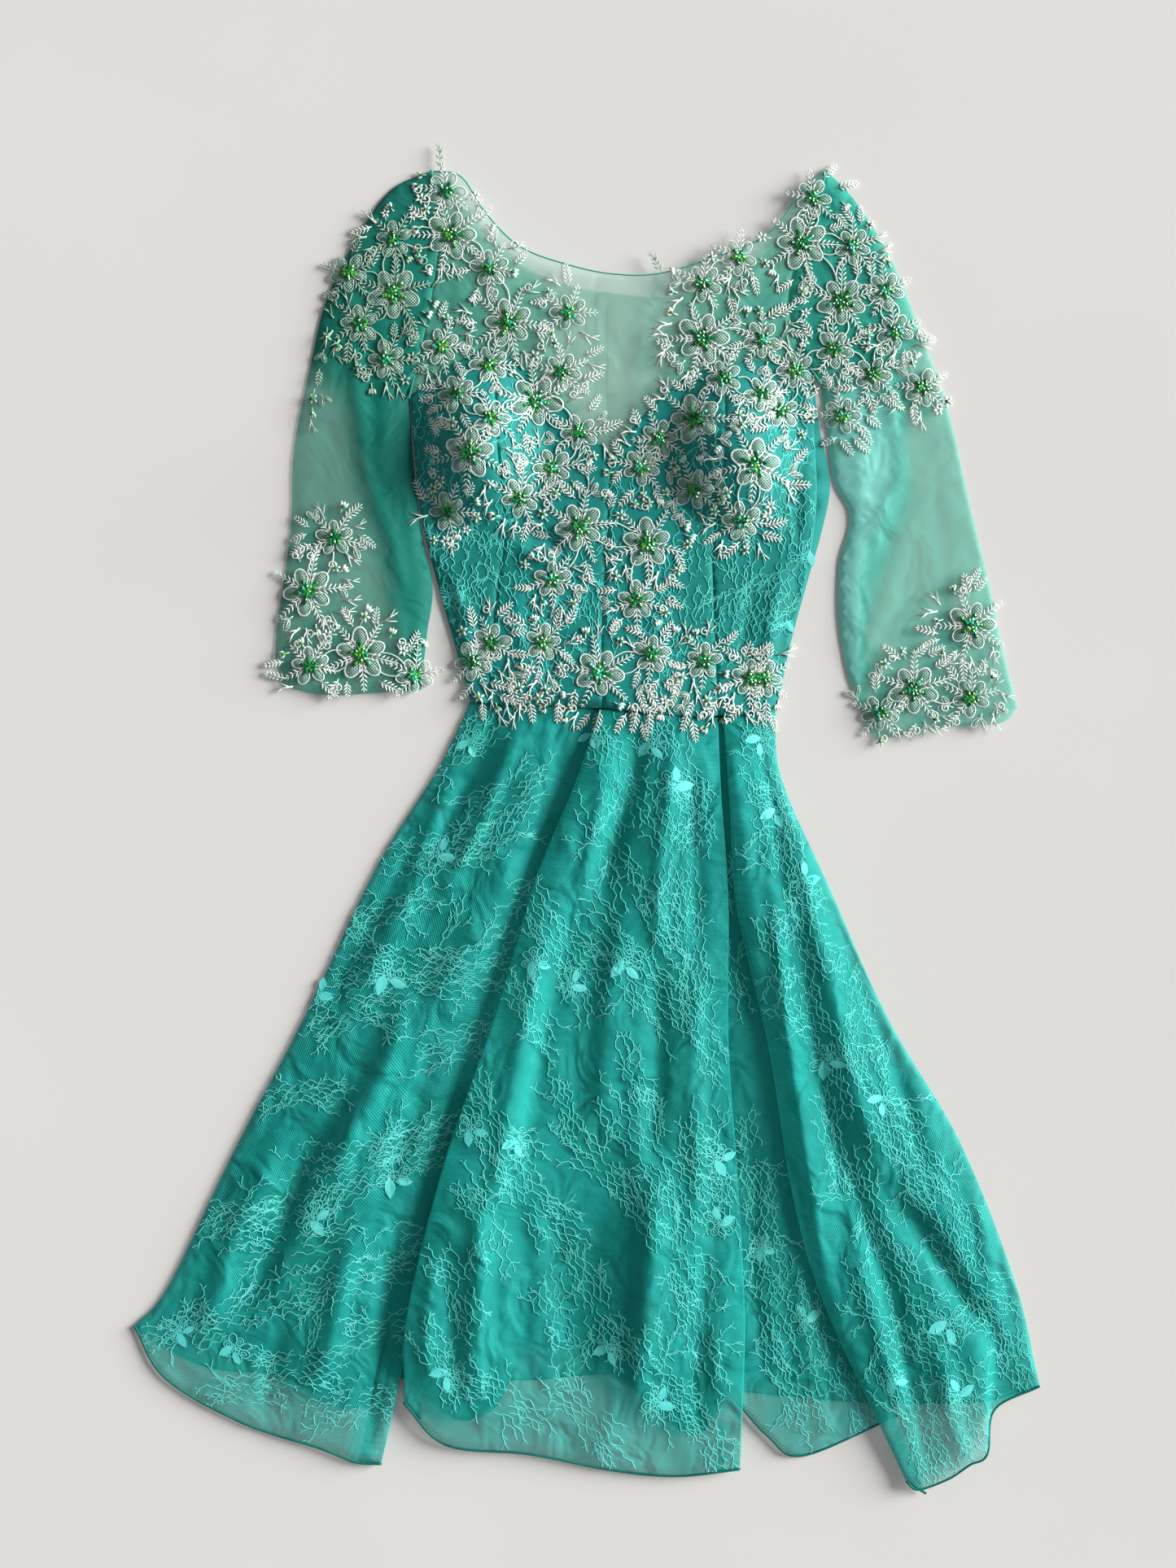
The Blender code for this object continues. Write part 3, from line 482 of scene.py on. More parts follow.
def sheer_cloth(name, colour, second, pitch, hole_alpha, thread_alpha, roughness=0.55, scale=9.0,
                deep=None, deep_above=None):
    """A net or organza: clear between its threads, with a soft sheen.

    deep is its colour where the attribute "layers" says that more layers of it lie together; on a sleeve
    this colour is also painted light, darker as shade or paler as a highlight. deep_above gives another
    one for them, and the two places along Y, in metres, between which it takes over."""
    material, tree, shader, place = dyed(name, roughness, colour, second, scale)
    cloth = node(tree, "ShaderNodeUVMap", uv_map="cloth").outputs["UV"]
    weave = node(tree, "ShaderNodeGroup", {"Vector": cloth, "Pitch": pitch, "Thread": 0.10},
                 node_tree=WOVEN_NET)
    alpha = node(tree, "ShaderNodeMapRange", {
        "Value": weave.outputs["Threads"], "To Min": hole_alpha, "To Max": thread_alpha})
    tree.links.new(alpha.outputs["Result"], shader.inputs["Alpha"])
    if deep:
        layers = node(tree, "ShaderNodeAttribute", attribute_name="layers").outputs["Fac"]
        closed = node(tree, "ShaderNodeMix", {0: layers, 2: alpha.outputs["Result"], 3: 0.9})
        tree.links.new(closed.outputs[0], shader.inputs["Alpha"])
        single = shader.inputs["Base Color"].links[0].from_socket
        deep_colour = (*deep, 1.0)
        if deep_above:
            upper, start, end = deep_above
            along = node(tree, "ShaderNodeSeparateXYZ", {"Vector": place})
            share = node(tree, "ShaderNodeMapRange", {
                "Value": along.outputs["Y"], "From Min": start, "From Max": end})
            blend = node(tree, "ShaderNodeMix", {
                0: share.outputs["Result"], 6: deep_colour, 7: (*upper, 1.0)}, data_type="RGBA")
            deep_colour = blend.outputs[2]
        depth = node(tree, "ShaderNodeMix", {0: layers, 6: single, 7: deep_colour}, data_type="RGBA")
        tree.links.new(depth.outputs[2], shader.inputs["Base Color"])
    creases = node(tree, "ShaderNodeTexNoise", {
        "Vector": place, "Scale": 26.0, "Detail": 2.0, "Distortion": 0.8})
    bumped(tree, shader, creases.outputs["Fac"], pitch * 5, 1.0)
    bumped(tree, shader, weave.outputs["Height"], pitch * 0.3, 0.5)
    shader.inputs["Sheen Weight"].default_value = 0.15
    shader.inputs["Sheen Roughness"].default_value = 0.4
    shader.inputs["Sheen Tint"].default_value = (*second, 1.0)
    return material


NET = sheer_cloth("embroidered_net", (0.018, 0.58, 0.52), (0.010, 0.46, 0.41), 0.0022, 0.08, 0.78)

GORES = {
    # fold lines, drop at the left edge, drop at the right edge, puff of the left fold
    "left": (LEFT_GORE, None, INNER_PLEAT_DROP, 0.0),
    "centre": (CENTRE_GORE, PLEAT_DROP, PLEAT_DROP, 6.0),
    "inset": (INSET_GORE, None, None, 0.0),
    "right": (RIGHT_GORE, PLEAT_DROP, None, 2.0),
}
skirt_front, hems, gore_cuts = {}, {}, {}
for side, (folds, left_drop, right_drop, left_puff) in GORES.items():
    skirt_front[side], hems[side], gore_cuts[side] = gore(
        "skirt_front_" + side, folds, left_drop, right_drop, left_puff)

# The back of the skirt, in the same net, flat on the surface, with the slit for the zip. Its hem shows
# through the sheer front.
BACK_LEVEL = 0.6
SKIRT_BACK_PITCH = 20
ZIP_X = 14.0
ZIP_HALF_WIDTH = 5.0
ZIP_FOOT_Y = -60.0
BACK_HEM = ((-384, -443), (-340, -466), (-295, -476), (-163, -477), (-57, -483), (27, -478),
            (128, -492), (237, -502), (335, -502), (387, -488))


def area(outline):
    turns = zip(outline, outline[1:] + outline[:1])
    return 0.5 * sum(a[0] * b[1] - b[0] * a[1] for a, b in turns)


def closed_outline(*lines):
    """One anticlockwise outline from lines that meet end to end."""
    outline = []
    for line in lines:
        outline += [Vector(point[:2]) for point in line[:-1]]
    if area(outline) < 0:
        outline.reverse()
    return outline


def is_inside(outline, x, y):
    inside = False
    for start, end in zip(outline, outline[1:] + outline[:1]):
        if (start[1] > y) != (end[1] > y):
            if x < start[0] + (end[0] - start[0]) * (y - start[1]) / (end[1] - start[1]):
                inside = not inside
    return inside


def distance(line, x, y):
    """How far a point is from a line of points."""
    nearest = math.inf
    for (x0, y0), (x1, y1) in zip(line, line[1:]):
        run_x, run_y = x1 - x0, y1 - y0
        t = ((x - x0) * run_x + (y - y0) * run_y) / max(1e-9, run_x ** 2 + run_y ** 2)
        t = max(0.0, min(1.0, t))
        nearest = min(nearest, math.hypot(x - x0 - run_x * t, y - y0 - run_y * t))
    return nearest


TRIANGLE_ROW = 0.87


def skin(outline, pitch, height):
    """Points and triangles of one surface over an outline, with the outline's own point numbers."""
    low_x, low_y = min(p[0] for p in outline), min(p[1] for p in outline)
    rows = int((max(p[1] for p in outline) - low_y) / (pitch * TRIANGLE_ROW)) + 1
    columns = int((max(p[0] for p in outline) - low_x) / pitch) + 2
    loop = outline + outline[:1]
    inner = []
    for row in range(rows):
        for column in range(columns):
            x, y = low_x + pitch * (column + 0.5 * (row % 2)), low_y + pitch * TRIANGLE_ROW * row
            if is_inside(outline, x, y) and distance(loop, x, y) > pitch * 0.4:
                inner.append(Vector((x, y)))
    result = delaunay_2d_cdt(outline + inner, [], [list(range(len(outline)))], 1, 1e-4)
    spots, triangles, origins = result[0], result[2], result[3]
    points = [(spot.x, spot.y, height(spot.x, spot.y)) for spot in spots]
    faces = [list(t) if area([spots[c] for c in t]) > 0 else list(t)[::-1] for t in triangles]
    place = {origin: new for new, group in enumerate(origins) for origin in group}
    return points, faces, [place[index] for index in range(len(outline))]


def panel(name, outline, pitch, height, material, node_name, folds=()):
    """A flat cut piece of cloth laid at a height, which stands for one node."""
    points, faces, _ = skin(outline, pitch, height)
    piece = finished(name, points, faces, points, material, folds=folds)
    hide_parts(node_name)
    return piece


def cut_size(outline, piece):
    """The cut's width and length, in metres."""
    width = (max(p[0] for p in outline) - min(p[0] for p in outline)) * MM
    length = (max(p[1] for p in outline) - min(p[1] for p in outline)) * MM
    stretch = max(1.0, math.sqrt(cloth_area[piece.name] / (abs(area(outline)) * MM ** 2)))
    return width * stretch, length * stretch


def level(height):
    return lambda x, y: height


def side_line(gore_table, row):
    """A fold line of the skirt in plan, from under the waist to the hem."""
    _, waist, *stations = gore_table[row]
    return smooth([(waist[0], between(WAIST_SEAM, waist[0]))] + [s[:2] for s in stations], 6)


def zip_slot(line):
    """A left to right line with the zip's slot cut down into it."""
    left, right = ZIP_X - ZIP_HALF_WIDTH, ZIP_X + ZIP_HALF_WIDTH
    slot = [(left, between(line, left)), (left, ZIP_FOOT_Y), (right, ZIP_FOOT_Y),
            (right, between(line, right))]
    return [p for p in line if p[0] < left] + slot + [p for p in line if p[0] > right]


left_side, right_side = side_line(LEFT_GORE, 0), side_line(RIGHT_GORE, -1)
waist = [(x, y - SEAM_GAP) for x, y in zip_slot(WAIST_SEAM)]
left_side[0], right_side[0] = Vector(waist[0]), Vector(waist[-1])
back_hem = smooth([left_side[-1]] + list(BACK_HEM[1:-1]) + [right_side[-1]], 5)
back_outline = closed_outline(waist, right_side, back_hem[::-1], left_side[::-1])
skirt_back = panel("skirt_back_net", back_outline, SKIRT_BACK_PITCH, level(BACK_LEVEL), NET,
                   "skirt_back")
skirt_back_cut = cut_size(back_outline, skirt_back)

# The lining of the skirt: opaque satin that hangs free inside, follows the pleats above it and ends
# above the sheer hem.
LINING_GAP = 1.0
LINING_LEVEL = 1.7
LINING_INSET = 10.0
LINING_PITCH = 7
LINING_HEM = ((-322, -450), (-285, -468), (-231, -495), (-192, -508), (-165, -478), (-113, -516),
              (-77, -503), (-46, -450), (27, -480), (90, -530), (128, -490), (195, -484), (265, -485),
              (315, -478), (340, -462))

LINING, tree, shader, place = dyed("lining_satin", 0.42, (0.004, 0.31, 0.275), (0.002, 0.22, 0.195), 7.0)
creases = node(tree, "ShaderNodeTexNoise", {
    "Vector": place, "Scale": 17.0, "Detail": 3.0, "Distortion": 1.2})
bumped(tree, shader, creases.outputs["Fac"], 0.016, 1.0)
grain = node(tree, "ShaderNodeTexWave", {
    "Vector": place, "Scale": 900.0, "Distortion": 1.5, "Detail": 2.0})
bumped(tree, shader, grain.outputs["Fac"], 0.00008, 0.35)
shader.inputs["Sheen Weight"].default_value = 0.25


def surface_of(*pieces):
    """A search tree over the finished meshes of some pieces."""
    points, faces = [], []
    for piece in pieces:
        first = len(points)
        points += [vertex.co.copy() for vertex in piece.data.vertices]
        faces += [[first + corner for corner in face.vertices] for face in piece.data.polygons]
    return BVHTree.FromPolygons(points, faces)


gores = surface_of(*skirt_front.values())


def under_the_gores(x, y):
    """The lowest cloth of the skirt front over a point, less the lining's gap, in mm."""
    lowest = math.inf
    for step_x, step_y in ((0, 0), (4, 0), (-4, 0), (0, 4), (0, -4)):
        hit = gores.ray_cast(Vector(((x + step_x) * MM, (y + step_y) * MM, 0.0)), Vector((0, 0, 1)))[0]
        if hit:
            lowest = min(lowest, hit.z / MM - LINING_GAP)
    return max(LINING_LEVEL, lowest) if lowest < math.inf else LINING_LEVEL


lining_left = [(p[0] + LINING_INSET, p[1]) for p in left_side[:-3]]
lining_right = [(p[0] - LINING_INSET, p[1]) for p in right_side[:-6]]
lining_top = [lining_left[0]] + [(x, y - 2) for x, y in WAIST_SEAM[1:-1]] + [lining_right[0]]
lining_hem = smooth([lining_left[-1]] + list(LINING_HEM) + [lining_right[-1]], 4)
lining_outline = closed_outline(lining_top, lining_right, lining_hem[::-1], lining_left[::-1])
lining = panel("skirt_lining_satin", lining_outline, LINING_PITCH, under_the_gores, LINING,
               "skirt_lining")
lining_cut = cut_size(lining_outline, lining)

# The bodice: four panels of the net over an opaque lining, joined at the princess seams and the centre
# front, with moulded cups. The cloth dips into each seam and turns down at the sides.
SIDE_LEFT = ((-152, 360), (-149, 317), (-142, 255), (-128, 199), (-114, 150), (-101, 101))
PRINCESS_LEFT = ((-80, 399), (-77, 325), (-71, 245), (-77, 199), (-82, 150), (-85, 98))
CENTRE_FRONT = ((20, 310), (18, 269), (15, 213), (13, 178), (12, 143), (13, 94))
PRINCESS_RIGHT = ((117, 388), (117, 315), (108, 241), (108, 192), (110, 147), (112, 88))
SIDE_RIGHT = ((193, 378), (195, 332), (197, 269), (188, 205), (174, 150), (163, 93))
BACK_SIDE_RIGHT = ((194, 378), (200, 333), (209, 288), (202, 247), (190, 205), (175, 150), (163, 93))
SWEETHEART_LEFT = ((-152, 362), (-117, 388), (-80, 399), (-43, 376), (-7, 341), (20, 310))
SWEETHEART_RIGHT = ((20, 310), (51, 348), (83, 376), (117, 388), (153, 391), (189, 389))
ARMHOLE_LEFT = ((-134, 556), (-129, 520), (-129, 484), (-139, 423), (-153, 360))
ARMHOLE_RIGHT = ((206, 556), (185, 493), (174, 444), (184, 400), (201, 372))
BODY_EDGE = 4.5
BODY_CROWN = 3.5
WAIST_CROWN = 6.5
WAIST_Y = 90.0
WAIST_REACH = 45.0
TURN_REACH = 9.0
TURN_END = 17.0
TURN_LEVEL = 7.6
SEAM_DIP = 0.8
SEAM_REACH = 2.0
SIDE_LEVEL = 1.4
SIDE_REACH = 9.0
CORNER_CLEAR = 3
BODICE_PITCH = 4
CUPS = (
    # x, y, half width, reach up, reach down, height
    (-92, 311, 57, 86, 64, 29.0),
    (127, 311, 57, 80, 66, 29.0),
)
BODY_CREASES = (
    # x0, y0, x1, y1, rise, half width
    (-52, 246, -22, 232, -3.6, 9),
    (-60, 232, -30, 216, 1.8, 7),
    (-127, 213, -108, 150, -1.6, 7),
    (-112, 200, -98, 140, 1.5, 6),
    (-92, 180, -90, 110, -1.0, 5),
    (-60, 190, -52, 120, 1.2, 8),
    (-30, 170, -28, 110, -1.0, 7),
    (182, 215, 168, 140, -1.5, 7),
    (166, 210, 154, 130, 1.5, 7),
    (140, 190, 134, 120, -1.2, 7),
    (60, 180, 58, 120, 1.0, 8),
    (176, 300, 184, 240, -1.4, 6),
    (-138, 300, -128, 240, -1.2, 6),
)

side_left, side_right = smooth(SIDE_LEFT, 6), smooth(SIDE_RIGHT, 6)
princess_left, princess_right = smooth(PRINCESS_LEFT, 6), smooth(PRINCESS_RIGHT, 6)
centre_front = smooth(CENTRE_FRONT, 6)
heart_left, heart_right = smooth(SWEETHEART_LEFT, 6), smooth(SWEETHEART_RIGHT, 6)


def body_height(x, y):
    """Height of the front of the body."""
    left = between(SIDE_LEFT + ARMHOLE_LEFT[:4], y, along=1)
    right = between(SIDE_RIGHT + ARMHOLE_RIGHT[:4], y, along=1)
    across = (x - (left + right) / 2) / ((right - left) / 2)
    crown = BODY_CROWN + WAIST_CROWN * math.exp(-((y - WAIST_Y) / WAIST_REACH) ** 2)
    height = BODY_EDGE + crown * max(0.0, 1 - across ** 2)
    for cup_x, cup_y, half_width, up, down, rise in CUPS:
        reach = math.hypot((x - cup_x) / half_width, (y - cup_y) / (up if y > cup_y else down))
        if reach < 1:
            height += rise * math.cos(reach * math.pi / 2) ** 1.2
    return height


def bodice_height(x, y):
    """The bodice's height with its seams' dips, its sides turned down and its soft folds.

    Left of the centre pleat its lower edge turns down to the skirt's lower cloth."""
    height = body_height(x, y) + creased(BODY_CREASES, x, y)
    over_waist = y - between(WAIST_SEAM, x)
    turned = (1 - soft_step(over_waist / TURN_REACH)) * soft_step((TURN_END - x) / TURN_REACH)
    height += (TURN_LEVEL - height) * turned
    seam = min(distance(line, x, y) for line in (PRINCESS_LEFT, CENTRE_FRONT, PRINCESS_RIGHT))
    height -= SEAM_DIP * math.exp(-(seam / SEAM_REACH) ** 2)
    side = min(distance(SIDE_LEFT, x, y), distance(SIDE_RIGHT, x, y))
    return SIDE_LEVEL + (height - SIDE_LEVEL) * (0.25 + 0.75 * soft_step((side + 1.5) / SIDE_REACH))


BODICE_NET, tree, shader, _ = dyed("lined_net", 0.5, (0.003, 0.25, 0.225), (0.002, 0.18, 0.16), 12.0)
cloth = node(tree, "ShaderNodeUVMap", uv_map="cloth").outputs["UV"]
weave = node(tree, "ShaderNodeGroup", {"Vector": cloth, "Pitch": 0.0013, "Thread": 0.14},
             node_tree=WOVEN_NET)
threads = node(tree, "ShaderNodeMath", {0: weave.outputs["Threads"], 1: 0.35}, operation="MULTIPLY")
mixed = node(tree, "ShaderNodeMix", {
    "Factor": threads.outputs[0], 6: shader.inputs["Base Color"].links[0].from_socket,
    7: (0.016, 0.45, 0.40, 1.0)}, data_type="RGBA")
tree.links.new(mixed.outputs[2], shader.inputs["Base Color"])
bumped(tree, shader, weave.outputs["Height"], 0.0004, 0.5)
shader.inputs["Sheen Weight"].default_value = 0.12

BODICE_SEAMS = {
    "side_front_left": (side_left, princess_left, heart_left),
    "front_centre_left": (princess_left, centre_front, heart_left),
    "front_centre_right": (centre_front, princess_right, heart_right),
    "side_front_right": (princess_right, side_right, heart_right),
}
waist_line = smooth(WAIST_SEAM, 5)
bodice = {}
for name, (left, right, heart) in BODICE_SEAMS.items():
    top = [p for p in heart if left[0][0] + CORNER_CLEAR < p[0] < right[0][0] - CORNER_CLEAR]
    bottom = [p for p in waist_line if left[-1][0] + CORNER_CLEAR < p[0] < right[-1][0] - CORNER_CLEAR]
    outline = closed_outline([left[0]] + top + [right[0]], right,
                             [right[-1]] + bottom[::-1] + [left[-1]], left[::-1])
    bodice[name] = panel(name + "_lace", outline, BODICE_PITCH, bodice_height, BODICE_NET, name)
    cut_size(outline, bodice[name])

# The yoke: one layer of sheer organza between the sweetheart edge and the neck. Towards the armholes
# the nets of the applique and the seams close it more.
NECK = ((-132, 555), (-108, 550), (-88, 520), (-58, 490), (-16, 474), (23, 466),
        (65, 467), (121, 485), (157, 502), (184, 536), (204, 554))
YOKE_PITCH = 6
YOKE_CREASES = (
    (-56, 440, -16, 350, 0.9, 6),
    (-10, 452, 20, 330, -0.8, 7),
    (52, 452, 40, 350, 0.9, 7),
    (80, 440, 62, 372, -0.7, 6),
    (-100, 500, -60, 420, 0.8, 7),
    (150, 480, 112, 410, 0.8, 7),
)
YOKE_FOLDS = (
    # how closed, how soft its edge, outline
    (0.6, 22, ((-200, 500), (-140, 512), (-96, 478), (-78, 425), (-84, 375), (-200, 375))),
    (0.55, 22, ((225, 500), (160, 478), (112, 446), (100, 400), (112, 375), (225, 375))),
    (0.42, 14, ((-220, 600), (-132, 600), (-112, 548), (-88, 512), (-50, 478), (-26, 455), (-22, 400),
                (4, 310), (-220, 310))),
    (0.42, 14, ((240, 600), (200, 600), (184, 530), (150, 492), (112, 470), (82, 455), (74, 410),
                (62, 360), (62, 310), (240, 310))),
)


def layered(folds, x, y):
    """How closed the cloth is at a point, from 0 to 1, by the extra layers in these outlines."""
    clear = 1.0
    for share, soft, outline in folds:
        if is_inside(outline, x, y):
            clear *= 1 - share * soft_step(distance(outline + outline[:1], x, y) / soft)
    return 1 - clear


ORGANZA = sheer_cloth("sheer_organza", (0.30, 0.78, 0.62), (0.23, 0.68, 0.53), 0.0009, 0.05, 0.28, 0.5,
                      deep=(0.04, 0.36, 0.28))

neck = smooth(NECK, 5)
heart = heart_left[:-1] + heart_right
armhole_left, armhole_right = smooth(ARMHOLE_LEFT, 6), smooth(ARMHOLE_RIGHT, 6)
inner_left = [p for p in armhole_left if heart[0][1] + 6 < p[1] < neck[0][1] - 3]
inner_right = [p for p in armhole_right if heart[-1][1] + 6 < p[1] < neck[-1][1] - 3]
yoke_outline = closed_outline(
    neck, [neck[-1]] + inner_right + [heart[-1]], heart[::-1], [heart[0]] + inner_left[::-1] + [neck[0]])
yoke = panel("yoke_front_organza", yoke_outline, YOKE_PITCH,
             lambda x, y: body_height(x, y) + creased(YOKE_CREASES, x, y),
             ORGANZA, "yoke_front", YOKE_FOLDS)
yoke_cut = cut_size(yoke_outline, yoke)

# The back of the bodice and yoke, plain and flat on the surface, in two halves that meet at the zip. The
# opaque cloth dips in the middle of the back, where only organza shows through the front yoke.
BACK_NECK = ((-131, 540), (-103, 512), (-71, 482), (-22, 460), (14, 452), (76, 448),
             (125, 465), (167, 498), (202, 545))
BACK_YOKE_SEAM = ((-152, 360), (-80, 362), (14, 364), (120, 366), (194, 376))
SHEER_DIP = ((-152, 360), (-100, 352), (-50, 322), (-10, 296), (14, 290), (40, 296), (85, 324),
             (140, 356), (194, 376))


def cut_at(line, x, keep_left):
    """The part of a left to right line from its outer end on one side of x, ended exactly at x."""
    kept = [point for point in line if (point[0] < x if keep_left else point[0] > x)]
    return (kept if keep_left else kept[::-1]) + [(x, between(line, x))]


ARMHOLE_INSET = 1.5
BACK_PITCH = 15
for half, side, front_armhole, inwards in (("left", side_left, armhole_left, 1),
                                           ("right", smooth(BACK_SIDE_RIGHT, 5), armhole_right, -1)):
    zip_edge = ZIP_X - inwards * ZIP_HALF_WIDTH
    upper, lower, dip, back_neck = (
        cut_at(line, zip_edge, half == "left")
        for line in (BACK_YOKE_SEAM, WAIST_SEAM, smooth(SHEER_DIP, 5), smooth(BACK_NECK, 5)))
    lower[0], upper[0], dip[0] = side[-1], side[0], side[0]
    armhole = [(p[0] + inwards * ARMHOLE_INSET, p[1]) for p in front_armhole]
    armhole = [p for p in armhole if side[0][1] + 8 < p[1] < back_neck[0][1] - 5]
    bodice_back = closed_outline(dip, [dip[-1], lower[-1]], lower[::-1], side[::-1])
    inset = closed_outline(upper, [upper[-1], dip[-1]], dip[::-1])
    yoke_back = closed_outline(back_neck, [back_neck[-1], upper[-1]], upper[::-1],
                               [upper[0]] + armhole[::-1] + [back_neck[0]])
    for kind, outline, material, slot in (("bodice_back_", bodice_back, BODICE_NET, "lace"),
                                          ("yoke_back_", yoke_back, ORGANZA, "organza")):
        piece = panel(kind + half + "_cloth", outline, BACK_PITCH, level(BACK_LEVEL), material,
                      kind + half)
        cut_size(outline, piece)
    points, faces, _ = skin(inset, BACK_PITCH, level(BACK_LEVEL))
    piece = finished("back_inset_" + half, points, faces, points, ORGANZA)
    cut_size(inset, piece)

# The sleeves: open tubes of sheer organza laid flat. At the shoulder and along the inner edge several
# layers of it lie together, which shows as closer cloth with a soft edge. The left sleeve's organza is
# painted darker as shade, and the right one's inner layers are painted pale as a highlight.
SLEEVE_EDGE = 3.6
SLEEVE_CROWN = 1.6
SLEEVE_SOFT_EDGE = 22.0
SLEEVE_SIDE_LEVEL = 1.2
SLEEVE_SIDE_REACH = 7.0
SLEEVE_UNDER = 0.5
SLEEVE_CLOTH = 0.25
SLEEVE_PITCH = 5.5
SLEEVE_UNDER_PITCH = 12
SLEEVE_LEFT = {
    "armhole": ARMHOLE_LEFT,
    "inner": ((-153, 360), (-150, 311), (-143, 248), (-133, 198), (-138, 157), (-143, 110)),
    "cuff": ((-143, 110), (-183, 107), (-223, 105), (-262, 112)),
    "outer": ((-262, 112), (-268, 150), (-255, 248), (-252, 317), (-236, 397), (-224, 445),
              (-201, 493), (-170, 538), (-134, 556)),
}
SLEEVE_RIGHT = {
    "armhole": ARMHOLE_RIGHT,
    "inner": ((201, 372), (206, 333), (212, 290), (224, 265), (225, 250), (216, 209), (220, 142),
              (237, 87), (248, 66)),
    "cuff": ((248, 66), (280, 73), (307, 78), (355, 81), (370, 94)),
    "outer": ((370, 94), (356, 150), (345, 203), (329, 269), (310, 352), (286, 418), (265, 472),
              (234, 525), (206, 556)),
}
SLEEVE_FOLDS = {
    # x0, y0, x1, y1, rise, half width
    "sleeve_left": (
        (-198, 400, -190, 300, 1.3, 7), (-190, 300, -158, 205, 1.4, 7), (-176, 430, -172, 300, 1.0, 7),
        (-160, 330, -146, 190, 0.9, 6), (-225, 330, -230, 200, -0.8, 9), (-165, 190, -160, 120, 0.8, 8),
    ),
    "sleeve_right": (
        (268, 353, 268, 290, 1.3, 6), (266, 290, 246, 238, 1.4, 7), (275, 238, 241, 149, 1.3, 8),
        (232, 330, 236, 262, 0.9, 7), (222, 283, 262, 279, -1.0, 5), (300, 300, 306, 180, -0.8, 9),
        (232, 240, 228, 130, 0.9, 6), (250, 400, 262, 330, 0.9, 7),
    ),
}
SLEEVE_LAYERS = {
    # how closed, how soft its edge, outline
    "sleeve_left": (
        (0.6, 40, ((-90, 640), (-320, 640), (-320, 410), (-240, 372), (-198, 350), (-90, 350))),
        (0.8, 8, ((-90, 440), (-212, 425), (-205, 385), (-200, 354), (-197, 325), (-191, 294),
                  (-185, 268), (-173, 232), (-166, 190), (-158, 150), (-152, 112), (-148, 90),
                  (-90, 90))),
        (0.5, 12, ((-90, 420), (-172, 405), (-166, 330), (-160, 260), (-152, 205), (-90, 190))),
    ),
    "sleeve_right": (
        (0.62, 26, ((90, 640), (236, 560), (272, 470), (288, 412), (256, 368), (90, 356))),
        (0.7, 7, ((150, 430), (264, 420), (269, 375), (271, 340), (270, 305), (265, 276), (255, 253),
                  (245, 234), (238, 205), (239, 160), (241, 105), (150, 90))),
        (0.3, 24, ((150, 330), (276, 325), (288, 275), (264, 210), (238, 135), (150, 120))),
        (0.5, 6, ((150, 275), (230, 262), (228, 205), (230, 150), (240, 90), (150, 80))),
    ),
}


def sleeve(name, edges, material):
    """An open tube laid flat: upper and lower layers, joined along the sleeve's two sides."""
    outline, ends = [], []
    for side in ("armhole", "inner", "cuff", "outer"):
        line = smooth(edges[side], 6)
        outline += line[:-1]
        ends += [side in ("armhole", "cuff")] * (len(line) - 1)
    if area(outline) < 0:
        outline.reverse()
        ends = ends[::-1][1:] + ends[::-1][:1]
    outline = [Vector(point) for point in outline]

    def upper_height(x, y):
        near = min(distance(edges["outer"], x, y), distance(edges["inner"], x, y))
        height = SLEEVE_EDGE + SLEEVE_CROWN * soft_step(near / SLEEVE_SOFT_EDGE)
        height += creased(SLEEVE_FOLDS[name], x, y) * soft_step(near / SLEEVE_SOFT_EDGE)
        rounded = soft_step((near + 0.5) / SLEEVE_SIDE_REACH)
        return SLEEVE_SIDE_LEVEL + (height - SLEEVE_SIDE_LEVEL) * rounded

    points, faces, upper = skin(outline, SLEEVE_PITCH, upper_height)
    below, below_faces, lower = skin(outline, SLEEVE_UNDER_PITCH, level(SLEEVE_UNDER))
    first = len(points)
    points += below
    faces += [[first + corner for corner in face[::-1]] for face in below_faces]
    for index in range(len(outline)):
        after = (index + 1) % len(outline)
        if not ends[index]:
            faces.append((upper[index], first + lower[index], first + lower[after], upper[after]))
    piece = finished(name + "_organza", points, faces, points, material, SLEEVE_CLOTH,
                     SLEEVE_LAYERS[name])
    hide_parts(name)
    return piece


# Painted shade: the left sleeve's organza, single and layered, is coloured darker than the right one's,
# for the shadow that it lies in.
PAINTED_SHADE_LEFT_ORGANZA = sheer_cloth("sleeve_organza_left_painted_shade", (0.05, 0.46, 0.35), (0.03, 0.37, 0.28), 0.0009,
                           0.07, 0.38, 0.45, 6.0, deep=(0.004, 0.22, 0.17))
# Painted highlight: the right sleeve's inner layers are coloured pale where its fold catches the light.
# Its layers above the shoulder stay dark.
PAINTED_HIGHLIGHT_RIGHT_ORGANZA = sheer_cloth("sleeve_organza_right_painted_highlight", (0.09, 0.74, 0.58), (0.06, 0.64, 0.50), 0.0009,
                            0.05, 0.28, 0.45, 6.0, deep=(0.38, 0.93, 0.86),
                            deep_above=((0.012, 0.32, 0.25), 0.35, 0.39))
sleeve_left = sleeve("sleeve_left", SLEEVE_LEFT, PAINTED_SHADE_LEFT_ORGANZA)
sleeve_right = sleeve("sleeve_right", SLEEVE_RIGHT, PAINTED_HIGHLIGHT_RIGHT_ORGANZA)

# Rolled hems and bound edges: a narrow roll of the cloth itself, sewn round each hem, the neck and the
# armholes.
HEM_ROLL = 1.1
BACK_HEM_LEVEL = 1.1
LINING_FOLD = 0.5
EDGE_ROLL = 0.6
ARMHOLE_LEVEL = 4.4
ARMHOLE_ROLL = 0.9
ROLLED = dyed("rolled_hem", 0.6, (0.005, 0.20, 0.155), (0.003, 0.13, 0.105), 60.0)[0]
EDGING = dyed("edge_binding", 0.6, (0.04, 0.44, 0.34), (0.02, 0.32, 0.25), 50.0)[0]


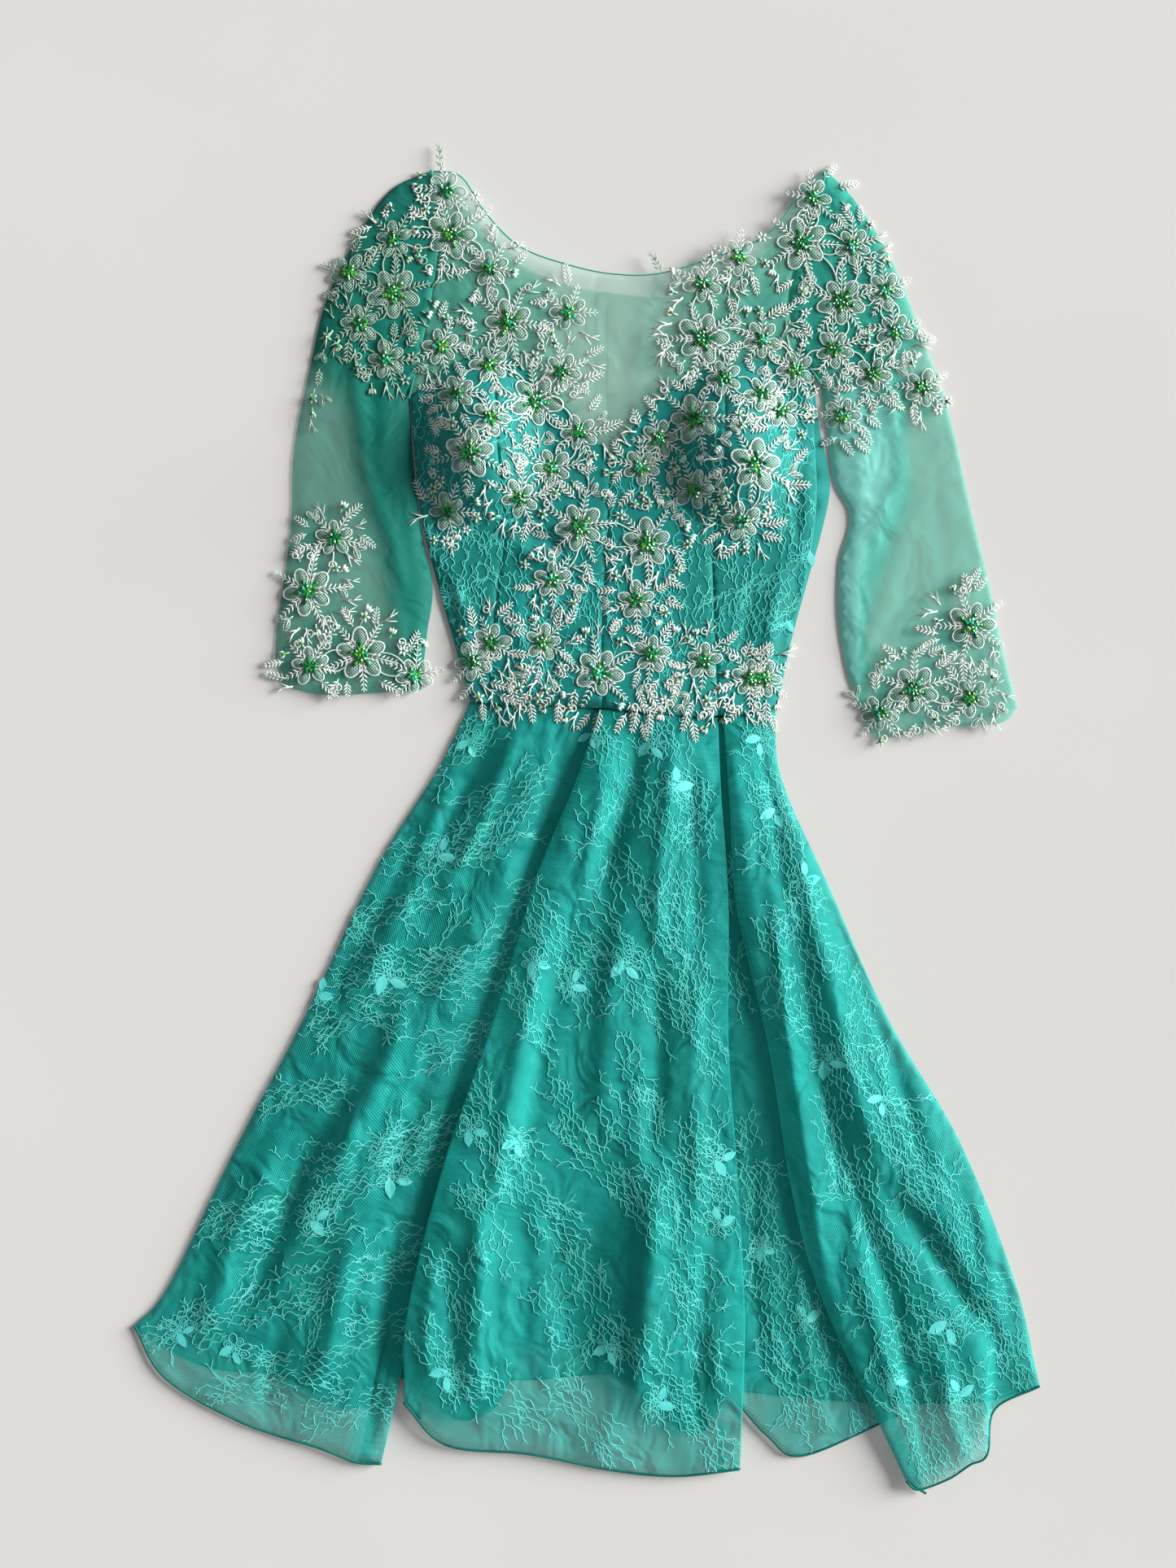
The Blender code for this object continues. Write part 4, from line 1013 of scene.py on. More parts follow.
def cords(name, lines, radius, material, ends=True):
    """Thin round cords along lines of points in mm, made one mesh."""
    curve = bpy.data.curves.new(name, "CURVE")
    curve.dimensions = "3D"
    curve.bevel_depth = radius * MM
    curve.bevel_resolution = 0
    curve.use_fill_caps = ends
    for line in lines:
        spline = curve.splines.new("POLY")
        spline.points.add(len(line) - 1)
        flat = []
        for point in line:
            flat += [point[0] * MM, point[1] * MM, point[2] * MM, 1.0]
        spline.points.foreach_set("co", flat)
    piece = bpy.data.objects.new(name, curve)
    bpy.context.scene.collection.objects.link(piece)
    bpy.ops.object.select_all(action="DESELECT")
    piece.select_set(True)
    bpy.context.view_layer.objects.active = piece
    bpy.ops.object.convert(target="MESH")
    piece = bpy.context.object
    piece.data.materials.clear()
    piece.data.materials.append(material)
    piece.data.shade_smooth()
    belongs(piece)
    return piece


def raised(line, height):
    """A line in plan with the height that a function gives for each of its points."""
    return [(p[0], p[1], height(p[0], p[1])) for p in line]


for side, line in hems.items():
    cords("rolled_hem_" + side, [line], HEM_ROLL, ROLLED)
cords(
    "rolled_hem_back", [raised(back_hem, level(BACK_HEM_LEVEL))], HEM_ROLL, ROLLED)
cords(
    "lining_hem_fold", [raised(lining_hem, under_the_gores)], LINING_FOLD, LINING)
neck_roll = cords("neck_binding", [raised(neck, body_height)], EDGE_ROLL, EDGING)
cords("armhole_seams", [raised(line, level(ARMHOLE_LEVEL)) for line in (armhole_left, armhole_right)],
      ARMHOLE_ROLL, EDGING)

# The zip: a concealed one in the centre back, a coil between two tapes. Above the opaque back its tape
# is sheer.
TAPE_HALF_WIDTH = 5.2
SHEER_ZIP_Y = 292.0
TAPE_PITCH = 4


def tape_outline(low, high):
    left, right = ZIP_X - TAPE_HALF_WIDTH, ZIP_X + TAPE_HALF_WIDTH
    return [Vector(corner) for corner in ((left, low), (right, low), (right, high), (left, high))]


lower_tape = tape_outline(ZIP_FOOT_Y, SHEER_ZIP_Y)
tape = panel("zip_tape", lower_tape, TAPE_PITCH, level(BACK_LEVEL), LINING, "back_zip")
upper_tape = tape_outline(SHEER_ZIP_Y, between(BACK_NECK, ZIP_X))
points, faces, _ = skin(upper_tape, TAPE_PITCH, level(BACK_LEVEL))
sheer_tape = finished("zip_tape_sheer", points, faces, points, ORGANZA)

ZIP_NYLON = dyed("zip_nylon", 0.35, (0.012, 0.30, 0.25), (0.006, 0.22, 0.18), 200.0)[0]
COIL_PITCH = 1.5
COIL_RADIUS = 1.2
COIL_WIRE = 0.3
COIL_LEVEL = 1.1
COIL_INSET = 3

bpy.ops.object.select_all(action="DESELECT")
bpy.ops.mesh.primitive_torus_add(
    major_segments=8, minor_segments=4, major_radius=COIL_RADIUS * MM, minor_radius=COIL_WIRE * MM,
    location=(ZIP_X * MM, (ZIP_FOOT_Y + COIL_INSET) * MM, COIL_LEVEL * MM),
    rotation=(math.radians(78), 0.0, 0.0))
coil = bpy.context.object
coil.name = "zip_coil"
coil.scale = (1.0, 0.45, 1.0)
bpy.ops.object.transform_apply(location=True, rotation=True, scale=True)
turns = coil.modifiers.new("turns", "ARRAY")
turns.use_relative_offset = False
turns.use_constant_offset = True
turns.constant_offset_displace = (0.0, COIL_PITCH * MM, 0.0)
turns.count = int((SHEER_ZIP_Y - ZIP_FOOT_Y - 2 * COIL_INSET) / COIL_PITCH)
bpy.ops.object.modifier_apply(modifier="turns")
coil.data.materials.append(ZIP_NYLON)
belongs(coil)
cut_size(lower_tape, tape)

# The embroidery of the net: fine aqua thread in clusters of wavy lines that meet and part like open
# cells, with branching sprays that end in feathery tips and small looped flowers.
THREAD = 0.33
THREAD_STEP = 2.2
THREAD_LIFT = 0.25
RIPPLE = 0.5
RIPPLE_WAVE = 5.6
chance = random.Random(7)

AQUA, _, shader, _ = dyed("embroidery_thread", 0.4, (0.14, 0.84, 0.78), (0.05, 0.66, 0.60), 26.0)
shader.inputs["Sheen Weight"].default_value = 0.4


def away_from(x, y, turn, reach, aside=0.0):
    """The point at a reach from another along a direction, and some way to the left of that."""
    return (x + reach * math.cos(turn) - aside * math.sin(turn),
            y + reach * math.sin(turn) + aside * math.cos(turn))


def wavy(x, y, heading, length, wave, swing, phase, bend=0.0):
    """A wavy thread in plan from a start point along a heading, in radians, with a fine ripple."""
    steps = max(3, int(length / THREAD_STEP))
    step = length / steps
    points = []
    for count in range(steps + 1):
        along = count * step
        side = swing * math.sin(math.tau * along / wave + phase)
        side += RIPPLE * math.sin(math.tau * along / RIPPLE_WAVE + 3.7 * phase)
        turn = heading + bend * count / steps
        points.append(away_from(x, y, turn, 0, side))
        x, y = away_from(x, y, turn, step)
    return points


def forked(point, heading, length):
    """The two short tips that a thread ends in."""
    tips = []
    for side in (-1, 1):
        turn = heading + side * chance.uniform(0.2, 0.5)
        tips.append(wavy(*point, turn, length * chance.uniform(0.6, 1.3), 9.0, 0.4, 0.0, side * 0.5))
    return tips


def spray(x, y, heading, length, depth=2):
    """A branching spray with feathery tips."""
    stem = wavy(x, y, heading, length, chance.uniform(10, 15), 1.0, chance.uniform(0, 6),
                chance.uniform(-0.6, 0.6))
    lines = [stem]
    side = chance.choice((-1, 1))
    for place in range(3, len(stem) - 1, 4):
        side = -side
        start, after = stem[place], stem[place + 1]
        ahead = math.atan2(after[1] - start[1], after[0] - start[0])
        reach = length * 0.45 * (1.15 - place / len(stem))
        if depth > 1 and reach > 9:
            lines += spray(*start, ahead + side * chance.uniform(0.4, 0.7), reach, depth - 1)
        else:
            lines.append(wavy(*start, ahead + side * 0.5, max(5.0, reach), 8.0, 0.6, 0.0, side * 0.4))
    last, before = stem[-1], stem[-2]
    return lines + forked(last, math.atan2(last[1] - before[1], last[0] - before[0]), 7.0)


def streamers(x, y, heading, reach, strands, spread):
    """Threads that run side by side from a point, part and meet in small cells, and fray at the ends."""
    lines = []
    spacing = chance.uniform(3.3, 4.4) * spread
    wave = chance.uniform(10, 16)
    bend = chance.uniform(-0.5, 0.5)
    for row in range(strands):
        off = (row - (strands - 1) / 2) * spacing
        start = chance.uniform(-0.1, 0.25) * reach
        while start < reach * 0.75:
            length = reach * chance.uniform(0.3, 0.75)
            phase = (math.pi if row % 2 else 0.0) + math.tau * start / wave + chance.uniform(-1.4, 1.4)
            fan = bend * length / reach + off * 0.014
            line = wavy(*away_from(x, y, heading, start, off), heading + chance.uniform(-0.2, 0.2),
                        length, wave, spacing / spread * chance.uniform(0.3, 0.5), phase, fan)
            lines.append(line)
            (x0, y0), (x1, y1) = line[-2:]
            lines += forked((x1, y1), math.atan2(y1 - y0, x1 - x0), 6.0)
            if chance.random() < 0.3:
                middle = line[len(line) // 2]
                lines += forked(middle, heading + chance.uniform(-1.0, 1.0), 7.0)
            start += length + chance.uniform(2, 10)
    return lines


def petal_loop(x, y, turn, near, far, width):
    """The outline of one petal, from near to far out along its direction."""
    loop = []
    for step in range(13):
        round_it = math.tau * step / 12
        out = near + (far - near) * (0.5 - 0.5 * math.cos(round_it))
        aside = width / 2 * math.sin(round_it) * (0.8 + 0.3 * out / far) + chance.uniform(-0.35, 0.35)
        loop.append(away_from(x, y, turn, out, aside))
    return loop


def blossom(x, y, heading, radius):
    """A flower head of outlined petals round an open eye of small meshes."""
    lines = []
    for petal in range(7):
        turn = heading + (petal - 3) * 0.78 + chance.uniform(-0.12, 0.12)
        far = radius * chance.uniform(0.8, 1.15)
        lines.append(petal_loop(x, y, turn, radius * 0.3, far, radius * chance.uniform(0.42, 0.6)))
        if petal % 2:
            lines.append(petal_loop(x, y, turn, radius * 0.45, far * 0.8, radius * 0.2))
    for mesh in range(6):
        turn = heading + mesh * math.tau / 6
        lines.append(petal_loop(x, y, turn, 0.3, radius * 0.3, radius * 0.2))
    return lines


RAY_HEIGHT = 0.1


def top_of(surface, x, y):
    """Where the line straight down through a point in metres first meets a surface, or None."""
    return surface.ray_cast(Vector((x, y, RAY_HEIGHT)), Vector((0, 0, -1)))[0]


def laid_on(surface, lines, lift):
    """Threads in plan laid on a cloth's surface, cut where they run off its edge."""
    laid = []
    for line in lines:
        run = []
        for x, y in line:
            hit = top_of(surface, x * MM, y * MM)
            if hit:
                run.append((x, y, hit.z / MM + lift))
            else:
                if len(run) > 1:
                    laid.append(run)
                run = []
        if len(run) > 1:
            laid.append(run)
    return laid


CLUSTERS = {
    # x, y, direction in degrees, reach
    "left": (
        (-120, 52, 205, 42), (-66, 20, 215, 40), (-120, -30, 195, 46), (-170, -80, 190, 40),
        (-150, -132, 185, 62), (-205, -165, 190, 48), (-100, -125, 200, 40), (-110, -195, 195, 42),
        (-245, -235, 195, 34), (-185, -295, 185, 64), (-255, -355, 190, 56), (-150, -275, 195, 36),
        (-300, -340, 200, 36), (-205, -390, 190, 50), (-310, -430, 200, 46), (-250, -470, 190, 46),
        (-350, -440, 210, 30), (-195, -500, 190, 40), (-130, -360, 200, 34), (-230, -90, 200, 22),
        (-175, -440, 195, 40), (-290, -495, 190, 34), (-40, -60, 215, 30), (-75, -15, 210, 34),
    ),
    "centre": (
        (25, 40, 290, 44), (75, 45, 285, 44), (20, -25, 300, 40), (75, -35, 290, 48), (98, 5, 280, 30),
        (-20, -115, 300, 52), (40, -130, 305, 60), (90, -105, 290, 40), (-45, -165, 295, 36),
        (95, -180, 290, 40), (-85, -260, 300, 50), (-50, -325, 305, 48), (60, -290, 300, 60),
        (15, -300, 310, 40), (105, -300, 290, 48), (-20, -245, 300, 28), (75, -370, 300, 50),
        (-110, -400, 300, 40), (-85, -345, 290, 36), (10, -420, 300, 44), (95, -440, 290, 42),
        (-120, -470, 300, 40), (-70, -500, 310, 40), (60, -480, 300, 48), (0, -510, 310, 44),
        (105, -530, 300, 40), (-30, -430, 300, 32), (40, -220, 300, 28), (60, -90, 295, 30),
    ),
    "inset": (
        (115, -60, 280, 24), (122, -130, 280, 30), (140, -290, 285, 36), (150, -350, 285, 36),
        (160, -420, 290, 42), (195, -440, 290, 34), (175, -490, 290, 40), (230, -500, 290, 34),
    ),
    "right": (
        (150, 45, 290, 34), (160, 5, 290, 36), (175, -50, 300, 42), (190, -105, 300, 36),
        (165, -120, 290, 30), (205, -190, 300, 50), (250, -240, 305, 52), (210, -280, 300, 34),
        (275, -295, 300, 50), (240, -330, 300, 40), (310, -330, 305, 44), (330, -395, 305, 44),
        (280, -400, 300, 40), (255, -430, 300, 40), (310, -470, 300, 52), (355, -440, 300, 40),
        (285, -520, 300, 42), (230, -150, 300, 26), (370, -470, 300, 26), (320, -520, 300, 30),
    ),
}
BLOSSOMS = {
    # x, y, direction in degrees, radius
    "left": (
        (-170, -135, 100, 17), (-232, -150, 200, 13), (-166, -308, 120, 16), (-235, -343, 160, 15),
        (-350, -441, 150, 13), (-302, -456, 60, 13), (-100, 64, 60, 12), (-128, -30, 200, 14),
    ),
    "centre": (
        (34, -124, 80, 16), (-14, -142, 200, 13), (-44, -122, 110, 13), (112, -291, 150, 15),
        (112, -347, 240, 13), (-99, -266, 120, 13), (-60, -277, 60, 12), (74, 28, 220, 15),
        (56, 63, 80, 14), (-118, -476, 40, 15), (4, 70, 60, 11), (20, -455, 60, 14), (60, -500, 200, 14),
    ),
    "inset": ((186, -431, 250, 14), (150, -370, 120, 11)),
    "right": (
        (150, 66, 40, 13), (163, 5, 60, 14), (184, -52, 220, 14), (205, -207, 120, 16),
        (254, -242, 40, 13), (310, -434, 60, 17), (317, -494, 250, 14), (262, -480, 120, 13),
    ),
}


def cluster(x, y, degrees, reach, spread=1.0):
    """One cluster of the embroidery: streamers both ways from its middle and a few sprays."""
    heading = math.radians(degrees)
    strands = int(reach / (6 * spread)) + 1
    lines = []
    for way in (0.0, math.pi):
        lines += streamers(x, y, heading + way + chance.uniform(-0.25, 0.25), reach, strands, spread)
        turn = heading + way + chance.choice((-1, 1)) * chance.uniform(0.5, 1.0)
        start = away_from(x, y, turn, reach * chance.uniform(0.1, 0.4))
        lines += spray(*start, turn, reach * chance.uniform(0.5, 0.9))
    return lines


petal_spots = []
for name, rows in CLUSTERS.items():
    lines = []
    for row in rows:
        lines += cluster(*row)
    for x, y, degrees, radius in BLOSSOMS[name]:
        heading = math.radians(degrees)
        lines += blossom(x, y, heading, radius)
        for turn, length in ((heading + 2.3, radius * 1.05), (heading - 2.5, radius * 0.85)):
            petal_spots.append((*away_from(x, y, turn, radius * 0.62), length, turn + 0.35))
    laid = laid_on(surface_of(skirt_front[name]), lines, THREAD_LIFT)
    cords("embroidery_" + name, laid, THREAD, AQUA, ends=False)

BODICE_CLUSTERS = (
    (-125, 262, 268, 44), (-122, 205, 262, 44), (-98, 160, 265, 44), (-62, 186, 270, 44),
    (-46, 140, 270, 34), (-95, 225, 268, 36), (60, 200, 272, 42), (85, 165, 270, 40),
    (155, 222, 272, 54), (176, 290, 270, 44), (150, 150, 275, 44), (128, 200, 270, 40),
    (30, 262, 270, 34), (-140, 320, 268, 34), (188, 345, 270, 34), (178, 220, 268, 40),
    (-8, 215, 270, 34), (-20, 160, 268, 34), (14, 150, 272, 34), (98, 245, 270, 34),
    (60, 150, 270, 32), (-72, 250, 268, 28), (125, 150, 272, 30), (-60, 330, 270, 30),
    (100, 320, 270, 30), (160, 290, 272, 30),
)
BODICE_SPREAD = 1.6
lines = []
for row in BODICE_CLUSTERS:
    lines += cluster(*row, BODICE_SPREAD)
for x, y, degrees, radius in ((184, 222, 80, 14), (166, 164, 100, 13), (-116, 190, 80, 12)):
    heading = math.radians(degrees)
    lines += blossom(x, y, heading, radius)
    petal_spots.append((x + radius * 0.6, y, radius * 0.9, heading + 0.4))
laid = laid_on(surface_of(*bodice.values()), lines, THREAD_LIFT)
cords("embroidery_bodice", laid, THREAD, AQUA, ends=False)

# Satin petals of the embroidery: small leaf shapes filled with bright aqua thread, worked through the
# net beside the flower heads.
PETAL_LIFT = 0.35
SATIN, tree, shader, place = dyed("satin_stitch", 0.35, (0.16, 0.88, 0.84), (0.08, 0.72, 0.68), 90.0)
stitches = node(tree, "ShaderNodeTexWave", {"Vector": place, "Scale": 620.0, "Distortion": 1.0})
bumped(tree, shader, stitches.outputs["Fac"], 0.0002, 0.6)

front_cloth = surface_of(*skirt_front.values(), *bodice.values(), yoke, sleeve_left, sleeve_right)


def cloth_height(x, y):
    """Height in metres of the top of the dress at a point in metres. Past its edge it is the edge's."""
    hit = top_of(front_cloth, x, y) or front_cloth.find_nearest(Vector((x, y, 0.004)))[0]
    return hit.z


def seated(piece, lift):
    """Lays a flat model on the cloth, point by point."""
    for vertex in piece.data.vertices:
        vertex.co.z += cloth_height(vertex.co.x, vertex.co.y) + lift * MM
    return piece


def placed(model, x, y, turn=0.0, size=1.0):
    """A copy of a model with its own mesh, moved, turned and sized within that mesh."""
    copy = model.copy()
    copy.data = model.data.copy()
    bpy.context.scene.collection.objects.link(copy)
    move = Matrix.Translation((x * MM, y * MM, 0.0)) @ Matrix.Rotation(turn, 4, "Z")
    copy.data.transform(move @ Matrix.Scale(size, 4))
    return copy


def discard(*models):
    """Removes models once their copies are placed."""
    for model in models:
        bpy.data.objects.remove(model, do_unlink=True)


def joined(name, parts):
    """Several objects made one, with the name given."""
    bpy.ops.object.select_all(action="DESELECT")
    for part in parts:
        part.select_set(True)
    bpy.context.view_layer.objects.active = parts[0]
    if len(parts) > 1:
        bpy.ops.object.join()
    parts[0].name = name
    return parts[0]


def squeezed(piece, test, value, middle=(0.0, 0.0, 0.0)):
    """Resizes, about a middle, the points of the active piece for which the test holds."""
    bpy.ops.object.mode_set(mode="EDIT")
    bpy.ops.mesh.select_mode(type="VERT")
    bpy.ops.mesh.select_all(action="DESELECT")
    bpy.ops.object.mode_set(mode="OBJECT")
    for vertex in piece.data.vertices:
        vertex.select = test(vertex.co)
    bpy.ops.object.mode_set(mode="EDIT")
    bpy.ops.transform.resize(value=value, center_override=middle)
    bpy.ops.object.mode_set(mode="OBJECT")


bpy.ops.object.select_all(action="DESELECT")
bpy.ops.mesh.primitive_cylinder_add(vertices=12, radius=0.5 * MM, depth=0.35 * MM)
satin_petal = bpy.context.object
satin_petal.scale = (1.0, 0.52, 1.0)
bpy.ops.object.transform_apply(location=False, rotation=False, scale=True)
squeezed(satin_petal, lambda co: abs(co.x) > 0.4 * MM, (1.15, 0.35, 1.0))
satin_petal.data.materials.append(SATIN)
petals = []
for x, y, length, turn in petal_spots:
    copy = placed(satin_petal, x, y, turn)
    for vertex in copy.data.vertices:
        vertex.co.x = x * MM + (vertex.co.x - x * MM) * length
        vertex.co.y = y * MM + (vertex.co.y - y * MM) * length
    petals.append(seated(copy, PETAL_LIFT))
discard(satin_petal)
belongs(joined("satin_petals", petals))

# The applique: guipure flowers in thick white cotton cord, cut out and sewn on by hand. Each petal is a
# corded oval with a fine net filling, with fern sprigs of seed-shaped stitches between the petals.
COTTON, tree, shader, place = dyed("cotton_cord", 0.75, (0.88, 0.95, 0.90), (0.70, 0.85, 0.77), 55.0,
                                   0.4, 0.7)
twist = node(tree, "ShaderNodeTexWave", {
    "Vector": place, "Scale": 500.0, "Distortion": 4.0, "Detail": 2.0})
bumped(tree, shader, twist.outputs["Fac"], 0.0003, 0.6)

FILLING, tree, shader, place = dyed("net_filling", 0.8, (0.50, 0.70, 0.60), (0.28, 0.50, 0.42), 110.0)
weave = node(tree, "ShaderNodeGroup", {"Vector": place, "Pitch": 0.0026, "Thread": 0.12},
             node_tree=WOVEN_NET)
alpha = node(tree, "ShaderNodeMapRange", {
    "Value": weave.outputs["Threads"], "To Min": 0.0, "To Max": 0.8})
tree.links.new(alpha.outputs["Result"], shader.inputs["Alpha"])


def corded_petal(length, width):
    """A petal along +X from its narrow base: an oval of cord with a thin net disc inside it."""
    bpy.ops.object.select_all(action="DESELECT")
    bpy.ops.mesh.primitive_torus_add(major_segments=14, minor_segments=4, major_radius=0.5,
                                     minor_radius=0.056, location=(0.0, 0.0, 0.0))
    ring = bpy.context.object
    ring.data.materials.append(COTTON)
    bpy.ops.mesh.primitive_cylinder_add(vertices=10, radius=0.5, depth=0.016, location=(0.0, 0.0, 0.02))
    disc = bpy.context.object
    disc.data.materials.append(FILLING)
    petal = joined("petal", [ring, disc])
    petal.scale = (length * MM, width * MM, length * MM)
    petal.location = (length / 2 * MM, 0.0, 0.0)
    bpy.ops.object.transform_apply(location=True, rotation=False, scale=True)
    squeezed(petal, lambda co: co.x < length * 0.3 * MM, (1.0, 0.78, 1.0))
    petal.data.shade_smooth()
    return petal


def seed_model(half_length, half_width):
    """One seed-shaped stitch along +X, pointed at its outer end."""
    middle = (half_length * 0.8 * MM, 0.0, 0.3 * MM)
    bpy.ops.object.select_all(action="DESELECT")
    bpy.ops.mesh.primitive_ico_sphere_add(subdivisions=1, radius=MM, location=middle)
    seed = bpy.context.object
    seed.scale = (half_length, half_width, 0.6)
    bpy.ops.object.transform_apply(location=True, rotation=False, scale=True)
    squeezed(seed, lambda co: co.x > half_length * 1.1 * MM, (1.15, 0.6, 0.7), middle)
    seed.data.materials.append(COTTON)
    seed.data.shade_smooth()
    return seed


def stem_model(length, thick, thin):
    """A tapering stem of cord along +X."""
    bpy.ops.object.select_all(action="DESELECT")
    bpy.ops.mesh.primitive_cone_add(
        vertices=5, radius1=thick * MM, radius2=thin * MM, depth=length * MM,
        location=(length / 2 * MM, 0.0, 0.25 * MM), rotation=(0.0, math.pi / 2, 0.0))
    stem = bpy.context.object
    bpy.ops.object.transform_apply(location=True, rotation=True, scale=True)
    stem.data.materials.append(COTTON)
    stem.data.shade_smooth()
    return stem


leaflet = seed_model(2.7, 0.72)
seed = seed_model(1.9, 1.05)


def fern_model(length, pairs):
    """A fern sprig along +X: a stem with pairs of seeds that grow smaller towards its tip."""
    parts = [stem_model(length * 0.96, 0.45, 0.3)]
    for pair in range(pairs):
        share = (pair + 0.8) / (pairs + 0.5)
        size = 1.15 - 0.75 * abs(share - 0.35)
        for side in (-1, 1):
            parts.append(placed(leaflet, length * share, side * 0.3, side * 0.8, size))
    parts.append(placed(leaflet, length * 0.9, 0.0, 0.0, 0.8))
    return joined("fern", parts)


def tapered_sprig_model():
    """The ragged end of a sprig: a curved stem whose tapering branches leave it one after the other."""
    parts = []
    for start, aside, turn, reach, bend in ((0.0, 0.0, -0.1, 16, 0.2), (4.0, -0.2, -0.8, 9, 0.35),
                                            (8.0, 0.4, 0.9, 8, -0.35)):
        stem = stem_model(reach, 0.85, 0.25)
        for vertex in stem.data.vertices:
            along = vertex.co.x / (reach * MM)
            vertex.co.y += bend * reach * MM * along ** 2
        parts.append(placed(stem, start, aside, turn))
        discard(stem)
    return joined("tapered_sprig", parts)


def flower_model(name, radius, petal_out, petal_width, ferns, fern_reach):
    """A flower: five corded petals and the fern sprigs between them."""
    petal = corded_petal(radius * (petal_out - 0.18), radius * petal_width)
    fern = fern_model(radius * (fern_reach - 0.2), int(radius * 0.23))
    parts = []
    for index in range(5):
        turn = index * math.tau / 5
        size = (1.0, 0.92, 1.05, 0.95, 1.0)[index]
        parts.append(placed(petal, *away_from(0, 0, turn, radius * 0.18), turn, size))
        if index in ferns:
            turn += math.tau / 10
            parts.append(placed(fern, *away_from(0, 0, turn, radius * 0.2), turn))
    discard(petal, fern)
    return joined(name, parts)


def daisy_model():
    """A small five-petalled daisy on a short stem."""
    parts = [stem_model(7, 0.4, 0.35)]
    for index in range(5):
        turn = index * math.tau / 5
        parts.append(placed(seed, *away_from(8, 0, turn, 0.9), turn, 1.15))
    return joined("daisy", parts)


def leaf_pair_model():
    """Two corded leaves with a rib on one stem."""
    leaf = corded_petal(9.5, 4.6)
    rib = stem_model(9, 0.35, 0.2)
    parts = [stem_model(5, 0.5, 0.4)]
    for side in (-1, 1):
        parts.append(placed(leaf, 4, 0, side * 0.6))
        parts.append(placed(rib, 4, 0, side * 0.6))
    discard(leaf, rib)
    return joined("leaf_pair", parts)


def bud_model():
    """A closed bud: three long seeds side by side on a short stem."""
    parts = [stem_model(6, 0.55, 0.45)]
    for turn in (-0.42, 0.0, 0.42):
        parts.append(placed(seed, 4.5, 2.2 * turn, turn, 1.5))
    return joined("bud", parts)


LARGE_FLOWER = 29.0
SMALL_FLOWER = 20.0
flower_models = {
    "large": [
        flower_model("large_a", LARGE_FLOWER, 0.74, 0.40, (0, 1, 2, 3, 4), 1.16),
        flower_model("large_b", LARGE_FLOWER, 0.78, 0.42, (0, 1, 2, 3, 4), 1.10),
        flower_model("large_c", LARGE_FLOWER, 0.72, 0.38, (0, 1, 2, 3, 4), 1.14),
    ],
    "small": [
        flower_model("small_a", SMALL_FLOWER, 0.84, 0.45, (0, 1, 3, 4), 1.18),
        flower_model("small_b", SMALL_FLOWER, 0.80, 0.43, (0, 1, 2, 4), 1.2),
    ],
}
FERN, DAISY, TAPERED, LEAVES, BUD, SHORT_FERN = range(6)
sprig_models = [fern_model(17, 5), daisy_model(), tapered_sprig_model(), leaf_pair_model(), bud_model(),
                fern_model(13, 4)]

# The flowers, sewn flat through their cords on the yoke, the cups, the centre front, the waist, the
# sleeves and the cuffs. Each gets two rings of glass beads in its eye.
LARGE_FLOWERS = (
    (-117, 500), (-166, 450), (-68, 424), (-100, 310), (-44, 357), (-7, 249), (51, 235), (99, 411),
    (218, 443), (92, 341), (143, 300), (10, 124), (-240, 194), (-194, 140), (330, 165), (280, 110),
    (184, 493),
)
SMALL_FLOWERS = (
    (-84, 471), (-166, 496), (-195, 423), (-126, 404), (-172, 393), (-16, 433), (-112, 362), (-7, 330),
    (-30, 300), (-58, 273), (99, 458), (130, 481), (150, 410), (228, 490), (212, 402),
    (264, 417), (256, 452), (245, 380), (288, 369), (219, 345), (91, 280), (62, 325), (-82, 150),
    (-38, 150), (55, 140), (100, 134), (140, 119), (-30, 204), (42, 186), (-217, 240), (-238, 130),
    (166, 348), (132, 254), (-120, 262), (-84, 388), (117, 376), (179, 384), (149, 362), (-98, 134),
    (-148, 122), (329, 103), (251, 90), (-205, 468), (46, 300), (-22, 382), (194, 532), (-121, 538),
    (152, 119), (-82, 340),
)
REGIONS = (
    # name, left, right, lowest, highest
    ("applique_cuff_left", -400, -155, 60, 280),
    ("applique_sleeve_left", -400, -140, 280, 505),
    ("applique_sleeve_right", 203, 400, 40, 600),
    ("applique_waist", -160, 203, 40, 182),
    ("applique_bodice", -160, 203, 182, 402),
    ("applique_yoke", -400, 203, 402, 600),
)
flowers = []
for index, (x, y) in enumerate(LARGE_FLOWERS):
    flowers.append((x, y, LARGE_FLOWER, index * 0.9, "large", index))
for index, (x, y) in enumerate(SMALL_FLOWERS):
    flowers.append((x, y, SMALL_FLOWER, index * 1.3 + 0.4, "small", index))
sewn = {name: [] for name, *_ in REGIONS}
brides = {name: [] for name, *_ in REGIONS}
bead_spots = []
LARGE_BEAD, MIDDLE_BEAD, SMALL_BEAD = 2.1, 1.9, 1.7
FLOWER_LIFT = 0.7
BEAD_RINGS = {
    # number of beads, radius of their ring
    "large": ((4, 1.9), (9, 4.7)),
    "small": ((3, 1.4), (6, 3.5)),
}


def region_of(x, y):
    for name, left, right, low, high in REGIONS:
        if left <= x < right and low <= y < high:
            return name
    return "applique_bodice"


